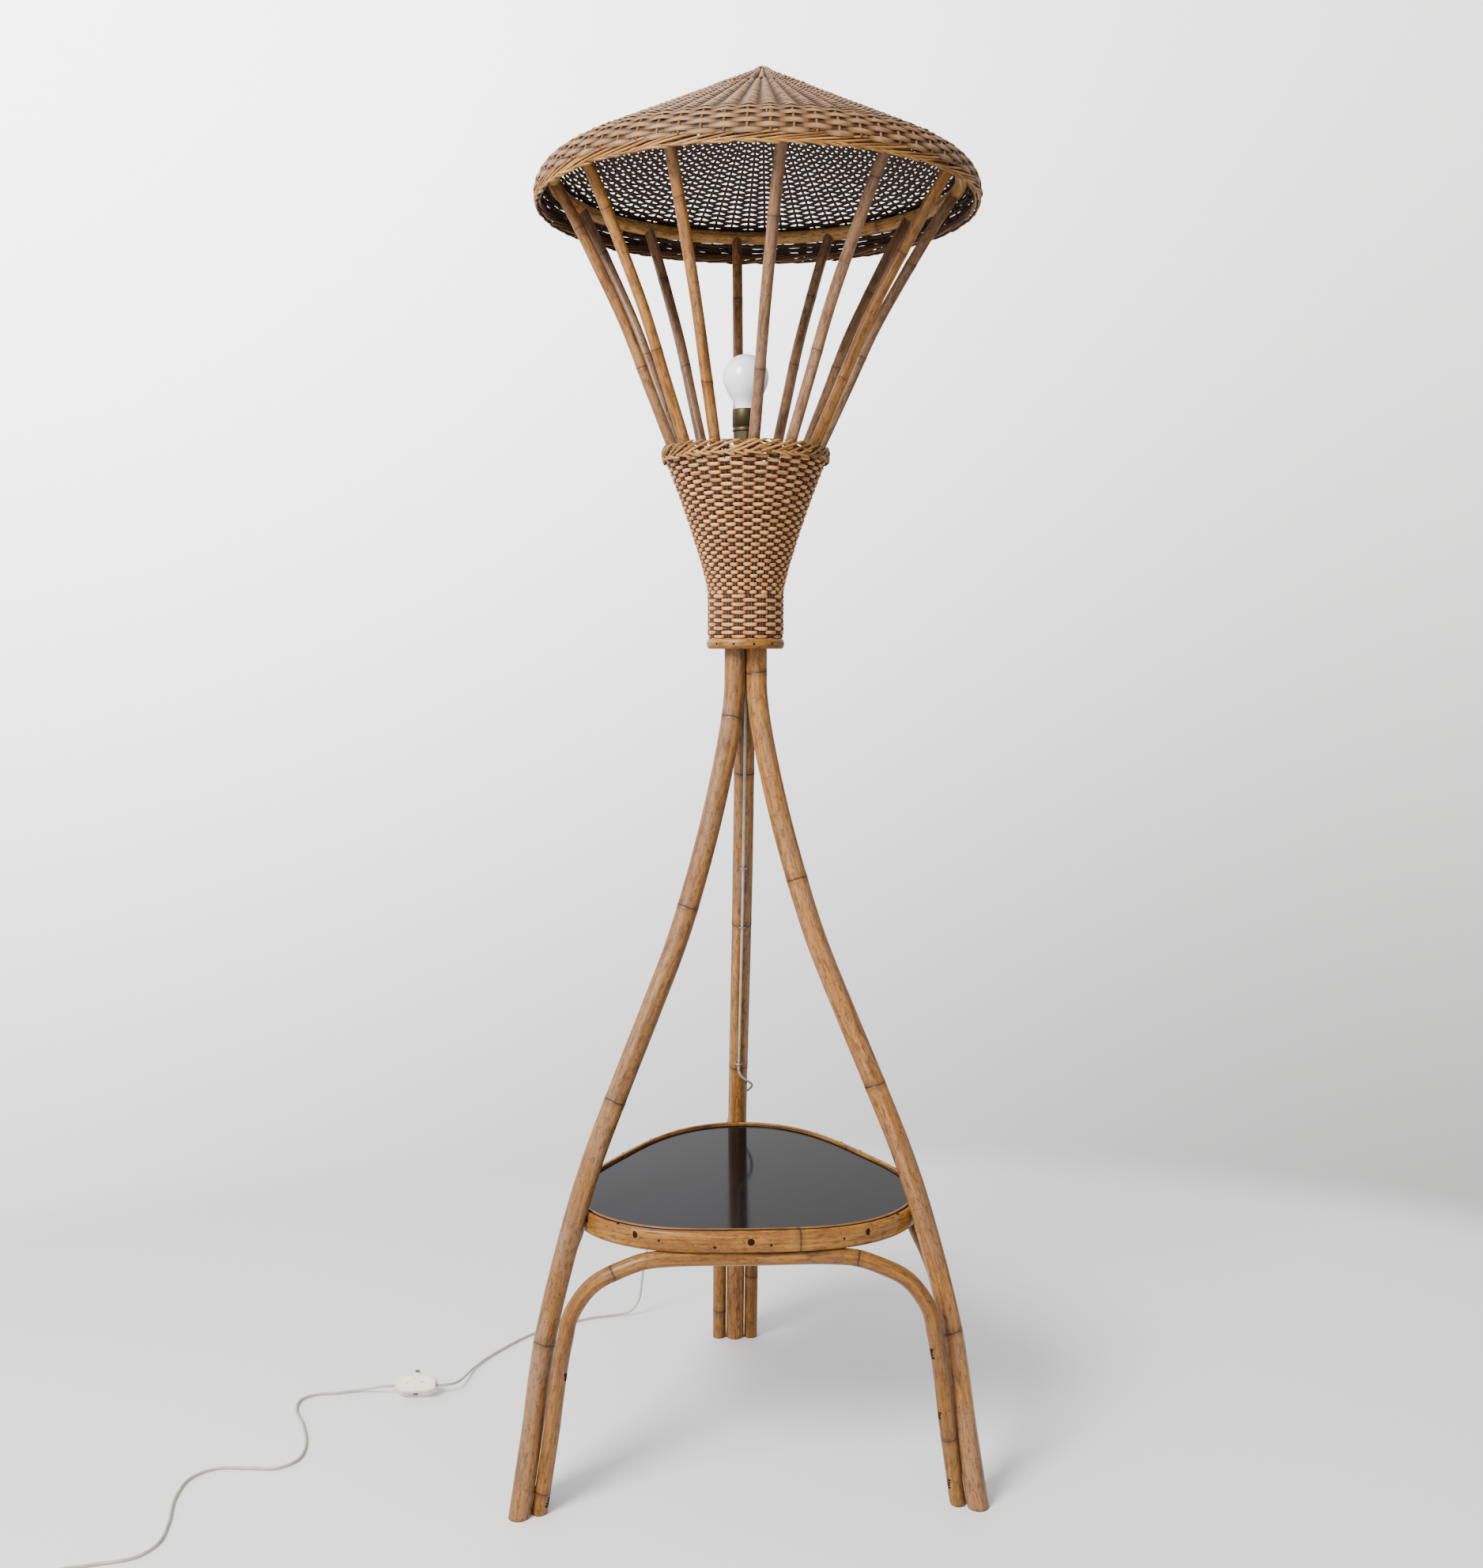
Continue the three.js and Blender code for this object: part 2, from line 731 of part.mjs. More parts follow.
function rodGeometry(angle) {
  const outwards = new THREE.Vector3(Math.cos(angle), Math.sin(angle), 0);
  const line = rodPlaces().map(([out, height, shift]) => (
    outwards.clone().multiplyScalar(out).add(new THREE.Vector3(crownShift * shift, 0, height))
  ));
  return ringTube(line, rodPlaces().map((place) => place[3]), rodSides, outwards);
}

function addCrown() {
  const seat = hoopGeometry(hoopDiameter + 2 * fitGap);
  for (let i = 0; i < rodCount; i += 1) {
    const angle = rodTurn + 2 * Math.PI * i / rodCount;
    const name = `rod_${String(i + 1).padStart(2, '0')}`;
    add(name, cut(rodGeometry(angle), seat), finish(rodColour, 0.5));
  }
  add('hoop', hoopGeometry(hoopDiameter), rattan());
}

// The shade: a shallow cone with a rounded shoulder, woven in one, closed by a knot on top

const borderTop = shoulderHeight + shadeBorderHeight / 4;
const coneEdge = shoulderCentreRadius + shoulderRadius * Math.sin(shadeSlope);
const coneEdgeHeight = shoulderHeight + shoulderRadius * Math.cos(shadeSlope);

function shadeLine(inset) {
  const radius = shoulderRadius - inset;
  const lowest = borderTop + fitGap;
  const first = Math.asin((lowest - shoulderHeight) / radius);
  const last = Math.PI / 2 - shadeSlope;
  const line = [];
  for (let i = 0; i <= 5; i += 1) {
    const angle = between(first, last, i / 5);
    line.push([
      shoulderCentreRadius + radius * Math.cos(angle), shoulderHeight + radius * Math.sin(angle),
    ]);
  }
  const [edge, edgeHeight] = line[line.length - 1];
  line.push([edge / 2, edgeHeight + edge / 2 * Math.tan(shadeSlope)]);
  line.push([0, edgeHeight + edge * Math.tan(shadeSlope)]);
  return line;
}

// The shade's mesh is open, and it is shown as a plain grid of openings through the cone
function shadeOpenings() {
  const [nearest, farthest] = openingReachShares.map((share) => share * coneEdge);
  const pitch = (farthest - nearest) / openingRings;
  const half = openingWidthShare * Math.PI / openingsAround;
  const height = coneEdge + shoulderRadius;
  const openings = [];
  for (let ring = 0; ring < openingRings; ring += 1) {
    const start = nearest + pitch * (ring + (1 - openingLengthShare) / 2);
    const corners = [[start, -half], [start + pitch * openingLengthShare, -half],
      [start + pitch * openingLengthShare, half], [start, half]];
    const outline = new THREE.Shape(corners.map(([radius, angle]) => (
      new THREE.Vector2(radius * Math.cos(angle), radius * Math.sin(angle))
    )));
    const opening = prism(outline, height).translate(0, 0, shoulderHeight);
    for (let i = 0; i < openingsAround; i += 1) {
      openings.push(opening.clone().rotateZ(2 * Math.PI * i / openingsAround));
    }
  }
  return openings;
}

function addShade() {
  const outer = shadeLine(0);
  const shell = cut(latheWall(outer, shadeLine(shadeThickness), shadeSides), ...shadeOpenings());
  add('shade_weave', shell.translate(crownShift, 0, 0), weave());

  const border = ovalRing(
    shadeRadius - shadeBorderThickness / 2,
    borderTop - shadeBorderHeight / 2,
    shadeBorderThickness,
    shadeBorderHeight,
    shadeSides,
  );
  add('shade_border', border.translate(crownShift, 0, 0), finish(borderColour, 0.6));

  const apex = coneEdgeHeight + coneEdge * Math.tan(shadeSlope) + 2 * fitGap;
  const fall = knotRadius * Math.tan(shadeSlope);
  const [shoulderShare, crownShare, crownRise, peakRise] = knotShares;
  const knot = lathe([
    [0, apex], [knotRadius, apex - fall], [knotRadius * shoulderShare, apex - fall + knotHeight],
    [knotRadius * crownShare, apex + knotHeight * crownRise], [0, apex + knotHeight * peakRise],
  ], turnedSides);
  add('shade_knot', knot.translate(crownShift, 0, 0), weave());
}

// The block on the poles' ends, with its screws, the nipple and its nut

function addBlock() {
  const hole = disc(nippleRadius + fitGap, -cutOverrun, blockHeight + cutOverrun)
    .translate(0, 0, blockBottom);
  const head = lathe([
    [0, -cutOverrun - blockHeight], [screwRadius + fitGap, -cutOverrun - blockHeight],
    [screwRadius + fitGap, -screwHeadHeight], [screwHeadRadius + fitGap, 0],
    [screwHeadRadius + fitGap, cutOverrun], [0, cutOverrun],
  ], rodSides).translate(trunkCircleRadius, 0, blockTop);
  const sinks = legAngles.map((angle) => head.clone().rotateZ(angle));
  const block = disc(blockRadius, blockBottom, blockTop, shadeSides / 2);
  add('lamp_block', cut(block, hole, ...sinks), finish(archColour, 0.6));

  const screw = lathe([
    [0, -screwLength + fitGap], [screwRadius, screwRadius - screwLength],
    [screwRadius, -screwHeadHeight], [screwHeadRadius, 0], [0, 0],
  ], rodSides).translate(trunkCircleRadius, 0, blockTop);
  legAngles.forEach((angle, i) => add(`block_screw_${i + 1}`, screw.clone().rotateZ(angle), steel()));

  const nipple = pipe(nippleRadius, nippleBoreRadius, blockBottom, holderBottom + nippleEngagement);
  add('nipple', nipple, steel());

  const nut = cut(
    prism(polygon(nutAcross / 2 / Math.cos(Math.PI / 6), 6), nutHeight),
    disc(nippleRadius + fitGap, -cutOverrun, cutOverrun),
  ).translate(0, 0, blockTop + fitGap);
  add('nipple_nut', nut, steel());
}

// The lampholder: a brass cap and shell round a ceramic insulator with its thread and contact

function addHolder() {
  const coneTop = holderBottom + holderConeHeight;
  const shellBottom = holderTopHeight - holderShellLength;
  const capTop = shellBottom + holderOverlap;
  const floorTop = holderBottom + holderNeckHeight;
  add('holder_cap', latheWall(
    [
      [holderNeckRadius, holderBottom], [holderNeckRadius, holderBottom + holderNeckHeight / 2],
      [holderCapRadius, coneTop], [holderCapRadius, capTop],
    ],
    [[nippleRadius + fitGap, holderBottom], [nippleRadius + fitGap, floorTop],
      [holderCapInner, coneTop + holderWall], [holderCapInner, capTop]],
    turnedSides,
  ), brass());

  const shellInner = holderCapRadius + fitGap;
  add('holder_shell', latheWall(
    [
      [holderShellRadius, shellBottom], [holderShellRadius, holderTopHeight - holderWall],
      [holderShellRadius - holderWall / 2, holderTopHeight],
    ],
    [[shellInner, shellBottom], [shellInner, holderTopHeight]],
    turnedSides,
  ), brass());

  const insulatorRadius = holderCapInner - fitGap;
  add('holder_insulator', disc(insulatorRadius, insulatorBottom, insulatorTop), cream());

  const sleeveBottom = insulatorTop + fitGap;
  add('holder_thread', pipe(
    bulbSleeveRadius + threadSleeveWall, bulbSleeveRadius, sleeveBottom, bulbCapTop - fitGap,
  ), brass());
  add('holder_contact', disc(contactRadius, sleeveBottom, contactTop, rodSides), brass());
}

// The bulb: a frosted glass on a brass cap

function addBulb() {
  const tipBottom = bulbBase - bulbTipHeight;
  add('bulb_cap', lathe([
    [0, tipBottom], [bulbTipRadius, tipBottom], [bulbCapBaseRadius, bulbBase],
    [bulbCapRadius, bulbBase + bulbCapBaseHeight], [bulbCapRadius, bulbCapTop], [0, bulbCapTop],
  ], turnedSides), brass());

  const neckHeight = holderCover + bulbNeckClear;
  const ballHeight = bulbGlassHeight - bulbRadius;
  const side = (inset) => {
    const line = [
      [bulbNeckRadius - inset, 0], [bulbNeckRadius - inset, neckHeight],
      [bulbWaistRadius - inset, neckHeight + bulbWaistRise],
    ];
    for (let i = 0; i <= 8; i += 1) {
      const angle = between(bulbBallStart, Math.PI / 2, i / 8);
      const radius = bulbRadius - inset;
      line.push([i < 8 ? radius * Math.cos(angle) : 0, ballHeight + radius * Math.sin(angle)]);
    }
    return line;
  };
  const glass = latheWall(side(0), side(bulbGlassThickness), turnedSides);
  add('bulb_glass', glass.translate(0, 0, bulbCapTop + fitGap), finish(glassColour, 0.2));
}

// The cord in the lamp: down the nipple and the trunk, and along the back pole's underside

const cordStandOff = (legDiameter + cordDiameter) / 2 + fitGap;

function besideLeg(height, standOff) {
  const { centre, under } = legAt(height);
  return centre.clone().addScaledVector(under, standOff);
}

function addLampCord() {
  const lowest = lastClipHeight - cordWrap[0][0] + 3 * fitGap;
  const highest = splitHeight - cordDiameter / 2;
  const points = [
    new THREE.Vector3(0, 0, insulatorBottom - fitGap),
    new THREE.Vector3(0, 0, trunkTopHeight),
    new THREE.Vector3(0, 0, between(splitHeight, trunkTopHeight, 0.5)),
  ];
  for (let i = 0; i <= lampCordPlaces; i += 1) {
    points.push(besideLeg(between(highest, lowest, i / lampCordPlaces), cordStandOff));
  }
  const steps = 2 * (points.length - 1);
  const cord = tube(points, cordDiameter, cordSides, steps);
  add('lamp_cord', cord, cream()).rotation.z = legAngles[0];

  clipHeights.forEach((height, i) => {
    const inner = legDiameter / 2 - 2 * clipWireDiameter;
    const outer = cordStandOff + (cordDiameter + clipWireDiameter) / 2 + fitGap;
    const { centre, under } = legAt(height);
    const spread = clipSpread + clipWireDiameter / 2;
    const wire = clipBendShares.map(([side, rise]) => (
      centre.clone().addScaledVector(under, between(inner, outer, rise))
        .add(new THREE.Vector3(0, side * spread, 0))
    ));
    const clip = tube(wire, clipWireDiameter, coilSides, clipSteps);
    const pole = legGeometry(legDiameter + 2 * fitGap);
    add(`cord_clip_${i + 1}`, cut(clip, pole), steel()).rotation.z = legAngles[0];
  });
}

// The switch on the cord lies leaned back on its long edge: its own X runs along the cord,
// its Y along the push bar and its Z out of the face with the screws

const switchFrame = new THREE.Group();
switchFrame.position.set(switchX, switchY, switchHeight);
switchFrame.rotation.x = switchTilt;
lamp.add(switchFrame);

function blockBetween(size, low, high, axis) {
  const sizes = { x: size, y: size, z: size };
  sizes[axis] = high - low;
  const box = new THREE.BoxGeometry(sizes.x, sizes.y, sizes.z);
  const middle = new THREE.Vector3();
  middle[axis] = (low + high) / 2;
  return box.translate(middle.x, middle.y, middle.z);
}

function switchBody() {
  const halfLength = switchLength / 2 - switchRounding;
  const shoulder = halfLength - switchEndLength;
  const half = switchWidth / 2 - switchRounding;
  const halfEnd = switchEndWidth / 2 - switchRounding;
  const outline = new THREE.Shape([
    [halfLength, -halfEnd], [halfLength, halfEnd], [shoulder, half], [-shoulder, half],
    [-halfLength, halfEnd], [-halfLength, -halfEnd], [-shoulder, -half], [shoulder, -half],
  ].map(([x, y]) => new THREE.Vector2(x, y)));
  return new THREE.ExtrudeGeometry(outline, {
    depth: switchThickness - 2 * switchRounding,
    bevelEnabled: true,
    bevelThickness: switchRounding,
    bevelSize: switchRounding,
    bevelSegments: 2,
  }).translate(0, 0, switchRounding - switchThickness / 2);
}

function addSwitch() {
  const halfLength = switchLength / 2;
  const half = switchWidth / 2;
  const face = switchThickness / 2;
  const far = 2 * switchLength;
  const cordHole = disc(cordDiameter / 2 + 2 * fitGap, 0, far, rodSides).rotateY(Math.PI / 2);
  const cordHoles = [
    cordHole.clone().translate(halfLength - switchCordHold, 0, 0),
    cordHole.clone().translate(switchCordHold - halfLength - far, 0, 0),
  ];
  const barHole = blockBetween(barWidth + 2 * fitGap, -switchWidth, switchWidth, 'y');
  const screwHole = lathe([
    [0, face - switchScrewDepth - switchScrewLength],
    [switchScrewRadius / 2 + fitGap, face - switchScrewDepth - switchScrewLength],
    [switchScrewRadius / 2 + fitGap, face - switchScrewDepth],
    [switchScrewRadius + fitGap, face - switchScrewDepth],
    [switchScrewRadius + fitGap, face + switchRounding], [0, face + switchRounding],
  ], rodSides);
  const sides = [-1, 1];
  const screwHoles = sides.map((side) => (
    screwHole.clone().translate(side * switchScrewSpacing / 2, 0, 0)
  ));
  const holes = [...cordHoles, barHole, ...screwHoles];
  const lower = blockBetween(far, -far, fitGap / 2, 'z');
  const upper = blockBetween(far, -fitGap / 2, far, 'z');
  add('switch_top', cut(switchBody(), lower, ...holes), cream(), switchFrame);
  add('switch_base', cut(switchBody(), upper, ...holes), cream(), switchFrame);

  const screw = lathe([
    [0, face - switchScrewDepth - switchScrewLength + fitGap],
    [switchScrewRadius / 2, face - switchScrewDepth - switchScrewLength + fitGap],
    [switchScrewRadius / 2, face - switchScrewDepth + fitGap],
    [switchScrewRadius, face - switchScrewDepth + fitGap],
    [switchScrewRadius, face - switchScrewDepth / 2], [0, face - switchScrewDepth / 2],
  ], rodSides);
  sides.forEach((side, i) => {
    const place = screw.clone().translate(side * switchScrewSpacing / 2, 0, 0);
    add(`switch_screw_${i + 1}`, place, steel(), switchFrame);
  });

  const nearTip = -half - barFlush;
  const farTip = half + barReach;
  const stem = blockBetween(
    barWidth, nearTip + barTipLength + fitGap, farTip - barTipLength - fitGap, 'y',
  );
  add('switch_bar', stem, cream(), switchFrame);
  const nearGeometry = blockBetween(barWidth, nearTip, nearTip + barTipLength, 'y');
  add('switch_bar_tip_near', nearGeometry, blackPlastic(), switchFrame);
  const farGeometry = blockBetween(barWidth, farTip - barTipLength, farTip, 'y');
  add('switch_bar_tip_far', farGeometry, blackPlastic(), switchFrame);
}

// The coil winds in and out again in two layers, and climbs in the half turn where it reverses

const coilTurns = coilWholeTurns + (coilEndAngle - coilStartAngle) / (2 * Math.PI);
const coilPitch = cordDiameter + coilTurnGap;
const coilInner = coilMiddleDiameters * cordDiameter - coilPitch * coilTurns / 4;
const coilHeight = tieThickness + 2 * fitGap + cordDiameter / 2;

class CoilCurve extends THREE.Curve {
  getPoint(share) {
    const turn = share * coilTurns;
    const fromMiddle = turn - coilTurns / 2;
    const angle = coilStartAngle + turn * 2 * Math.PI;
    const radius = coilInner + coilPitch * Math.abs(fromMiddle);
    const climb = THREE.MathUtils.smoothstep(fromMiddle, -coilClimbTurns / 2, coilClimbTurns / 2);
    return new THREE.Vector3(
      coilX + radius * Math.cos(angle),
      coilY + radius * Math.sin(angle),
      coilHeight + coilPitch * climb,
    );
  }
}

// The coil's centre line, with a straight run of one diameter at each end
function coilLine() {
  const coil = new CoilCurve();
  coil.arcLengthDivisions = coilSteps * coilWholeTurns * 4;
  const steps = Math.round(coilSteps * coilTurns);
  const points = coil.getSpacedPoints(steps);
  const run = (from, to) => from.clone().sub(to).setZ(0).normalize().multiplyScalar(cordDiameter);
  const first = points[0].clone().add(run(points[0], points[1]));
  const last = points[steps].clone().add(run(points[steps], points[steps - 1]));
  return [first, ...points, last];
}

// The least distance between turns, from skin to skin
function leastGap(points) {
  let least = Infinity;
  for (let i = 0; i < points.length; i += 1) {
    for (let j = i + Math.floor(coilSteps / 2); j < points.length; j += 1) {
      least = Math.min(least, points[i].distanceTo(points[j]) - cordDiameter);
    }
  }
  return least;
}

// The free cord, with its coil, its tie and its plug

const vectors = (places) => places.map(([x, y, z]) => new THREE.Vector3(x, y, z));

// The point a little way on from the end of a line, and one more a diameter further
function leaving(end, before) {
  const along = end.clone().sub(before).normalize();
  return [
    end.clone().addScaledVector(along, fitGap),
    end.clone().addScaledVector(along, cordDiameter),
  ];
}

function wrapPoints() {
  return cordWrap.map(([drop, degrees, share]) => {
    const { centre, under } = legAt(lastClipHeight - drop);
    const angle = degrees * Math.PI / 180;
    const side = new THREE.Vector3(0, -1, 0);
    return centre.clone()
      .addScaledVector(under, cordStandOff * share * Math.cos(angle))
      .addScaledVector(side, cordStandOff * share * Math.sin(angle))
      .applyAxisAngle(new THREE.Vector3(0, 0, 1), legAngles[0]);
  });
}

function addFreeCord() {
  const halfSwitch = switchLength / 2 - switchCordHold + fitGap;
  const switchEnd = (side, out) => new THREE.Vector3(
    switchX + side * (halfSwitch + out), switchY, switchHeight,
  );
  const toSwitch = [
    ...wrapPoints(), ...vectors(cordToSwitch),
    switchEnd(1, switchStraight), switchEnd(1, switchCordHold), switchEnd(1, 0),
  ];
  add('cord_to_switch', tube(toSwitch, cordDiameter, cordSides, switchCordSteps), cream());

  const coil = coilLine();
  console.log(`least gap of the coil to itself: ${leastGap(coil).toFixed(2)} mm`);
  const toCoil = [
    switchEnd(-1, 0), switchEnd(-1, switchCordHold), switchEnd(-1, switchStraight),
    ...vectors(cordToCoil), ...leaving(coil[0], coil[1]).reverse(),
  ];
  add('cord_to_coil', tube(toCoil, cordDiameter, cordSides, coilCordSteps), cream());
  const across = coil.map(() => cordDiameter);
  add('cord_coil', ringTube(coil, across, coilSides, new THREE.Vector3(0, 0, 1)), cream());

  const tieInner = coilInner - cordDiameter / 2 - fitGap;
  const tieOuter = coilInner + (coilPitch * coilTurns + cordDiameter) / 2 + fitGap;
  const inside = new THREE.BoxGeometry(
    tieOuter - tieInner, 2 * tieWidth, coilPitch + cordDiameter + 2 * fitGap,
  );
  const outside = new THREE.BoxGeometry(
    tieOuter - tieInner + 2 * tieThickness,
    tieWidth,
    coilPitch + cordDiameter + 2 * (fitGap + tieThickness),
  );
  const tie = cut(outside, inside)
    .translate((tieInner + tieOuter) / 2, 0, coilHeight + coilPitch / 2)
    .rotateZ(tieAngle)
    .translate(coilX, coilY, 0);
  add('cord_tie', tie, blackPlastic());

  const end = coil.length - 1;
  const sleeveStart = plugX - plugLength / 2 - plugSleeveLength + plugRounding;
  const plugHeight = plugThickness / 2;
  const tailEnd = (out) => new THREE.Vector3(sleeveStart - out, plugY, plugHeight);
  const tail = [
    ...leaving(coil[end], coil[end - 1]), ...vectors(cordTail),
    tailEnd(cordDiameter), tailEnd(plugRounding + fitGap - plugSleeveLength),
  ];
  add('cord_tail', tube(tail, cordDiameter, cordSides, tailSteps), cream());
}

// The plug: a flat moulded body with two pins, and a tapered sleeve moulded on round its cord

function addPlug() {
  const half = plugLength / 2 - plugRounding;
  const front = plugWidth / 2 - plugRounding;
  const back = plugTailWidth / 2 - plugRounding;
  const outline = new THREE.Shape([
    [half, -front], [half, front], [0, front], [-half, back], [-half, -back], [0, -front],
  ].map(([x, y]) => new THREE.Vector2(x, y)));
  const body = new THREE.ExtrudeGeometry(outline, {
    depth: plugThickness - 2 * plugRounding,
    bevelEnabled: true,
    bevelThickness: plugRounding,
    bevelSize: plugRounding,
    bevelSegments: 2,
  }).translate(0, 0, plugRounding - plugThickness / 2);
  const hole = disc(pinRadius + fitGap, -pinHold - fitGap, pinLength, rodSides).rotateY(Math.PI / 2);
  const pin = lathe([
    [0, -pinHold], [pinRadius, -pinHold], [pinRadius, pinLength - pinRadius],
    [pinRadius / 2, pinLength], [0, pinLength],
  ], rodSides).rotateY(Math.PI / 2);
  const frame = new THREE.Group();
  frame.position.set(plugX, plugY, plugThickness / 2);
  lamp.add(frame);
  const places = [-1, 1].map((side) => [plugLength / 2, side * pinSpacing / 2, 0]);
  const holes = places.map((place) => hole.clone().translate(...place));
  places.forEach((place, i) => {
    add(`plug_pin_${i + 1}`, pin.clone().translate(...place), steel(), frame);
  });

  const inner = cordDiameter / 2 + 2 * fitGap;
  const sleeve = latheWall(
    [
      [inner + plugSleeveWall, 0], [plugSleeveRadius, plugSleeveLength / 2],
      [plugSleeveRadius, plugSleeveLength],
    ],
    [[inner, 0], [inner, plugSleeveLength]],
    rodSides,
  ).rotateY(Math.PI / 2).translate(-plugLength / 2 - plugSleeveLength + plugRounding, 0, 0);
  add('plug', cut(join(body, sleeve), ...holes), cream(), frame);
}

addLegs();
addTable();
addArches();
addCollar();
addCrown();
addShade();
addBlock();
addHolder();
addBulb();
addLampCord();
addSwitch();
addFreeCord();
addPlug();

// The part's origin is on the floor under the middle of the lamp's own box
lamp.position.y = (footReach + legDiameter / 2 - shadeRadius) / -2;

export default lamp;
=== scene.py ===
"""A rattan floor lamp with a black table between its poles, dressed for its picture."""

import math
from functools import partialmethod

import bpy
import numpy as np
from mathutils import Matrix, Vector


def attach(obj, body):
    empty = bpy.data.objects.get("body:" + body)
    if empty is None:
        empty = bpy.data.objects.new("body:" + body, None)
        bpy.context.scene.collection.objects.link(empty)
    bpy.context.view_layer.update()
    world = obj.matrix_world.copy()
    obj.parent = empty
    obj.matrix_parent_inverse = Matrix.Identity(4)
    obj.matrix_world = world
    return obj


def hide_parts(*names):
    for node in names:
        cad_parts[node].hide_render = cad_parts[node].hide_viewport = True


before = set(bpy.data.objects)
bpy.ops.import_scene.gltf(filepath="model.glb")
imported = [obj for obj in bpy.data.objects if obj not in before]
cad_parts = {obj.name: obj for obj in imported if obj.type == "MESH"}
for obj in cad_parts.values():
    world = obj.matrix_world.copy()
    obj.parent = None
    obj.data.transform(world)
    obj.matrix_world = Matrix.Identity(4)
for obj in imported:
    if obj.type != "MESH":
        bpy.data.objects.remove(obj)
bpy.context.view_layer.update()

MM = 0.001
TAU = 2 * math.pi

# Sizes of the lamp in millimetres, as its solids have them. The trunk's axis is x = 0, y = 0
# here, and the lamp stands 31.5 mm further forward in the part's frame.
FORWARD = -31.5
FIT = 0.3
LEG = 27.0
ARCH = 20.0
ROD = 14.0
ROD_FOOT = 12.0
HOOP = 17.0
CORD = 4.0
TRUNK_TOP = 1235.0
FOOT_REACH = 326.5
TABLE_HEIGHT = 368.0
TABLE_RADIUS = 215.5
CORNER_BULGE = 20.5
RIM_HEIGHT = 28.0
RIM_THICKNESS = 10.0
RIM_LIP = 4.0
GLASS = 5.0
COLLAR_BOTTOM = TRUNK_TOP - 177
COLLAR_NECK = COLLAR_BOTTOM + 72
COLLAR_MOUTH = COLLAR_NECK + 168
SPLIT = COLLAR_BOTTOM - 50
MOUTH_RADIUS = 100.5
WEAVE = 3.6
CROWN_SHIFT = 14.0
SHADE_RADIUS = 277.0
SHOULDER = 40.4
SHOULDER_HEIGHT = COLLAR_MOUTH + 309
SLOPE = math.radians(26.5)
TIP_LEAN = 6.0
SHADE_THICKNESS = 5.0
TRUNK_RADIUS = max((LEG + 0.9) / math.sqrt(3), (LEG + CORD) / 2 + 2 * FIT)
NECK_RADIUS = TRUNK_RADIUS + LEG / 2 + ROD_FOOT + 2 * FIT + WEAVE
CORNER_RADIUS = TABLE_RADIUS + CORNER_BULGE
SIDE_RADIUS = TABLE_RADIUS - CORNER_BULGE
LEG_AT_TABLE = CORNER_RADIUS + FIT + LEG / 2
RIM_MIDDLE = TABLE_HEIGHT - RIM_HEIGHT / 2
STAND_OFF = (LEG + CORD) / 2 + FIT
LEG_ANGLES = [math.radians(a) for a in (90, 210, 330)]
SEED = 11

# The drawn cord and poles are thinner than the solid ones by this on their radius, which keeps
# them inside the part's box.
CORD_THINNER = 0.24
POLE_THINNER = 0.06


def rand(*shape):
    """Numbers from -1 to 1, the same in each run."""
    global SEED
    SEED += 1
    return np.random.default_rng(SEED).uniform(-1, 1, shape)


# Lines and surfaces


def between(low, high, share):
    """The place at a share of the way from low to high."""
    return low + (high - low) * share


def eased(share):
    """A smooth step from 0 at 0 to 1 at 1, held beyond."""
    share = np.clip(share, 0, 1)
    return share * share * (3 - 2 * share)


def unit(vectors):
    """Vectors made one long."""
    return vectors / np.linalg.norm(vectors, axis=-1, keepdims=True)


def grid(*parts):
    """The parts of places, each a number, a row, a column or a grid, spread and put together."""
    return np.stack(np.broadcast_arrays(*parts), -1)


def round_axis(r, z, a, shift=0.0):
    """Places at angle a round the upright axis: x = r cos(a) + shift, y = r sin(a)."""
    return grid(r * np.cos(a) + shift, r * np.sin(a), z)


def spline(points, count):
    """A centripetal Catmull-Rom curve through points, read at count places that share out evenly
    over its stretches."""
    p = np.asarray(points, float)
    ext = np.vstack([2 * p[0] - p[1], p, 2 * p[-1] - p[-2]])
    place = np.linspace(0, 1, count) * (len(p) - 1)
    seg = np.minimum(place.astype(int), len(p) - 2)
    w = (place - seg)[:, None]
    p0, p1, p2, p3 = (ext[seg + k] for k in range(4))
    a, b, c = (
        np.sqrt(np.linalg.norm(v - u, axis=1))[:, None] for u, v in ((p0, p1), (p1, p2), (p2, p3))
    )
    t1 = ((p1 - p0) / a - (p2 - p0) / (a + b) + (p2 - p1) / b) * b
    t2 = ((p2 - p1) / b - (p3 - p1) / (b + c) + (p3 - p2) / c) * b
    return p1 + t1 * w + (3 * (p2 - p1) - 2 * t1 - t2) * w**2 + (2 * (p1 - p2) + t1 + t2) * w**3


def lengths(lines):
    """The length along each line up to each of its points."""
    steps = np.linalg.norm(np.diff(lines, axis=-2), axis=-1)
    return np.concatenate([np.zeros((*steps.shape[:-1], 1)), np.cumsum(steps, -1)], -1)


def even(line, step, extra=()):
    """The line again with points one step apart, and more at the given lengths along it."""
    run = lengths(line)
    count = max(int(round(run[-1] / step)), 2)
    at = np.unique(np.concatenate([np.linspace(0, run[-1], count + 1), extra]))
    at = at[(at >= 0) & (at <= run[-1])]
    at = at[np.concatenate([[True], np.diff(at) > 1e-6])]
    return np.stack([np.interp(at, run, line[:, k]) for k in range(3)], 1), at


def turned(points, angle):
    """Points turned about the upright axis."""
    c, s = math.cos(angle), math.sin(angle)
    x, y, z = np.moveaxis(np.asarray(points, float), -1, 0)
    return np.stack([c * x - s * y, s * x + c * y, z], -1)


def headings(lines, closed):
    """The direction of each line at each of its points."""
    if closed:
        return unit(np.roll(lines, -1, -2) - np.roll(lines, 1, -2))
    return unit(np.gradient(lines, axis=-2))


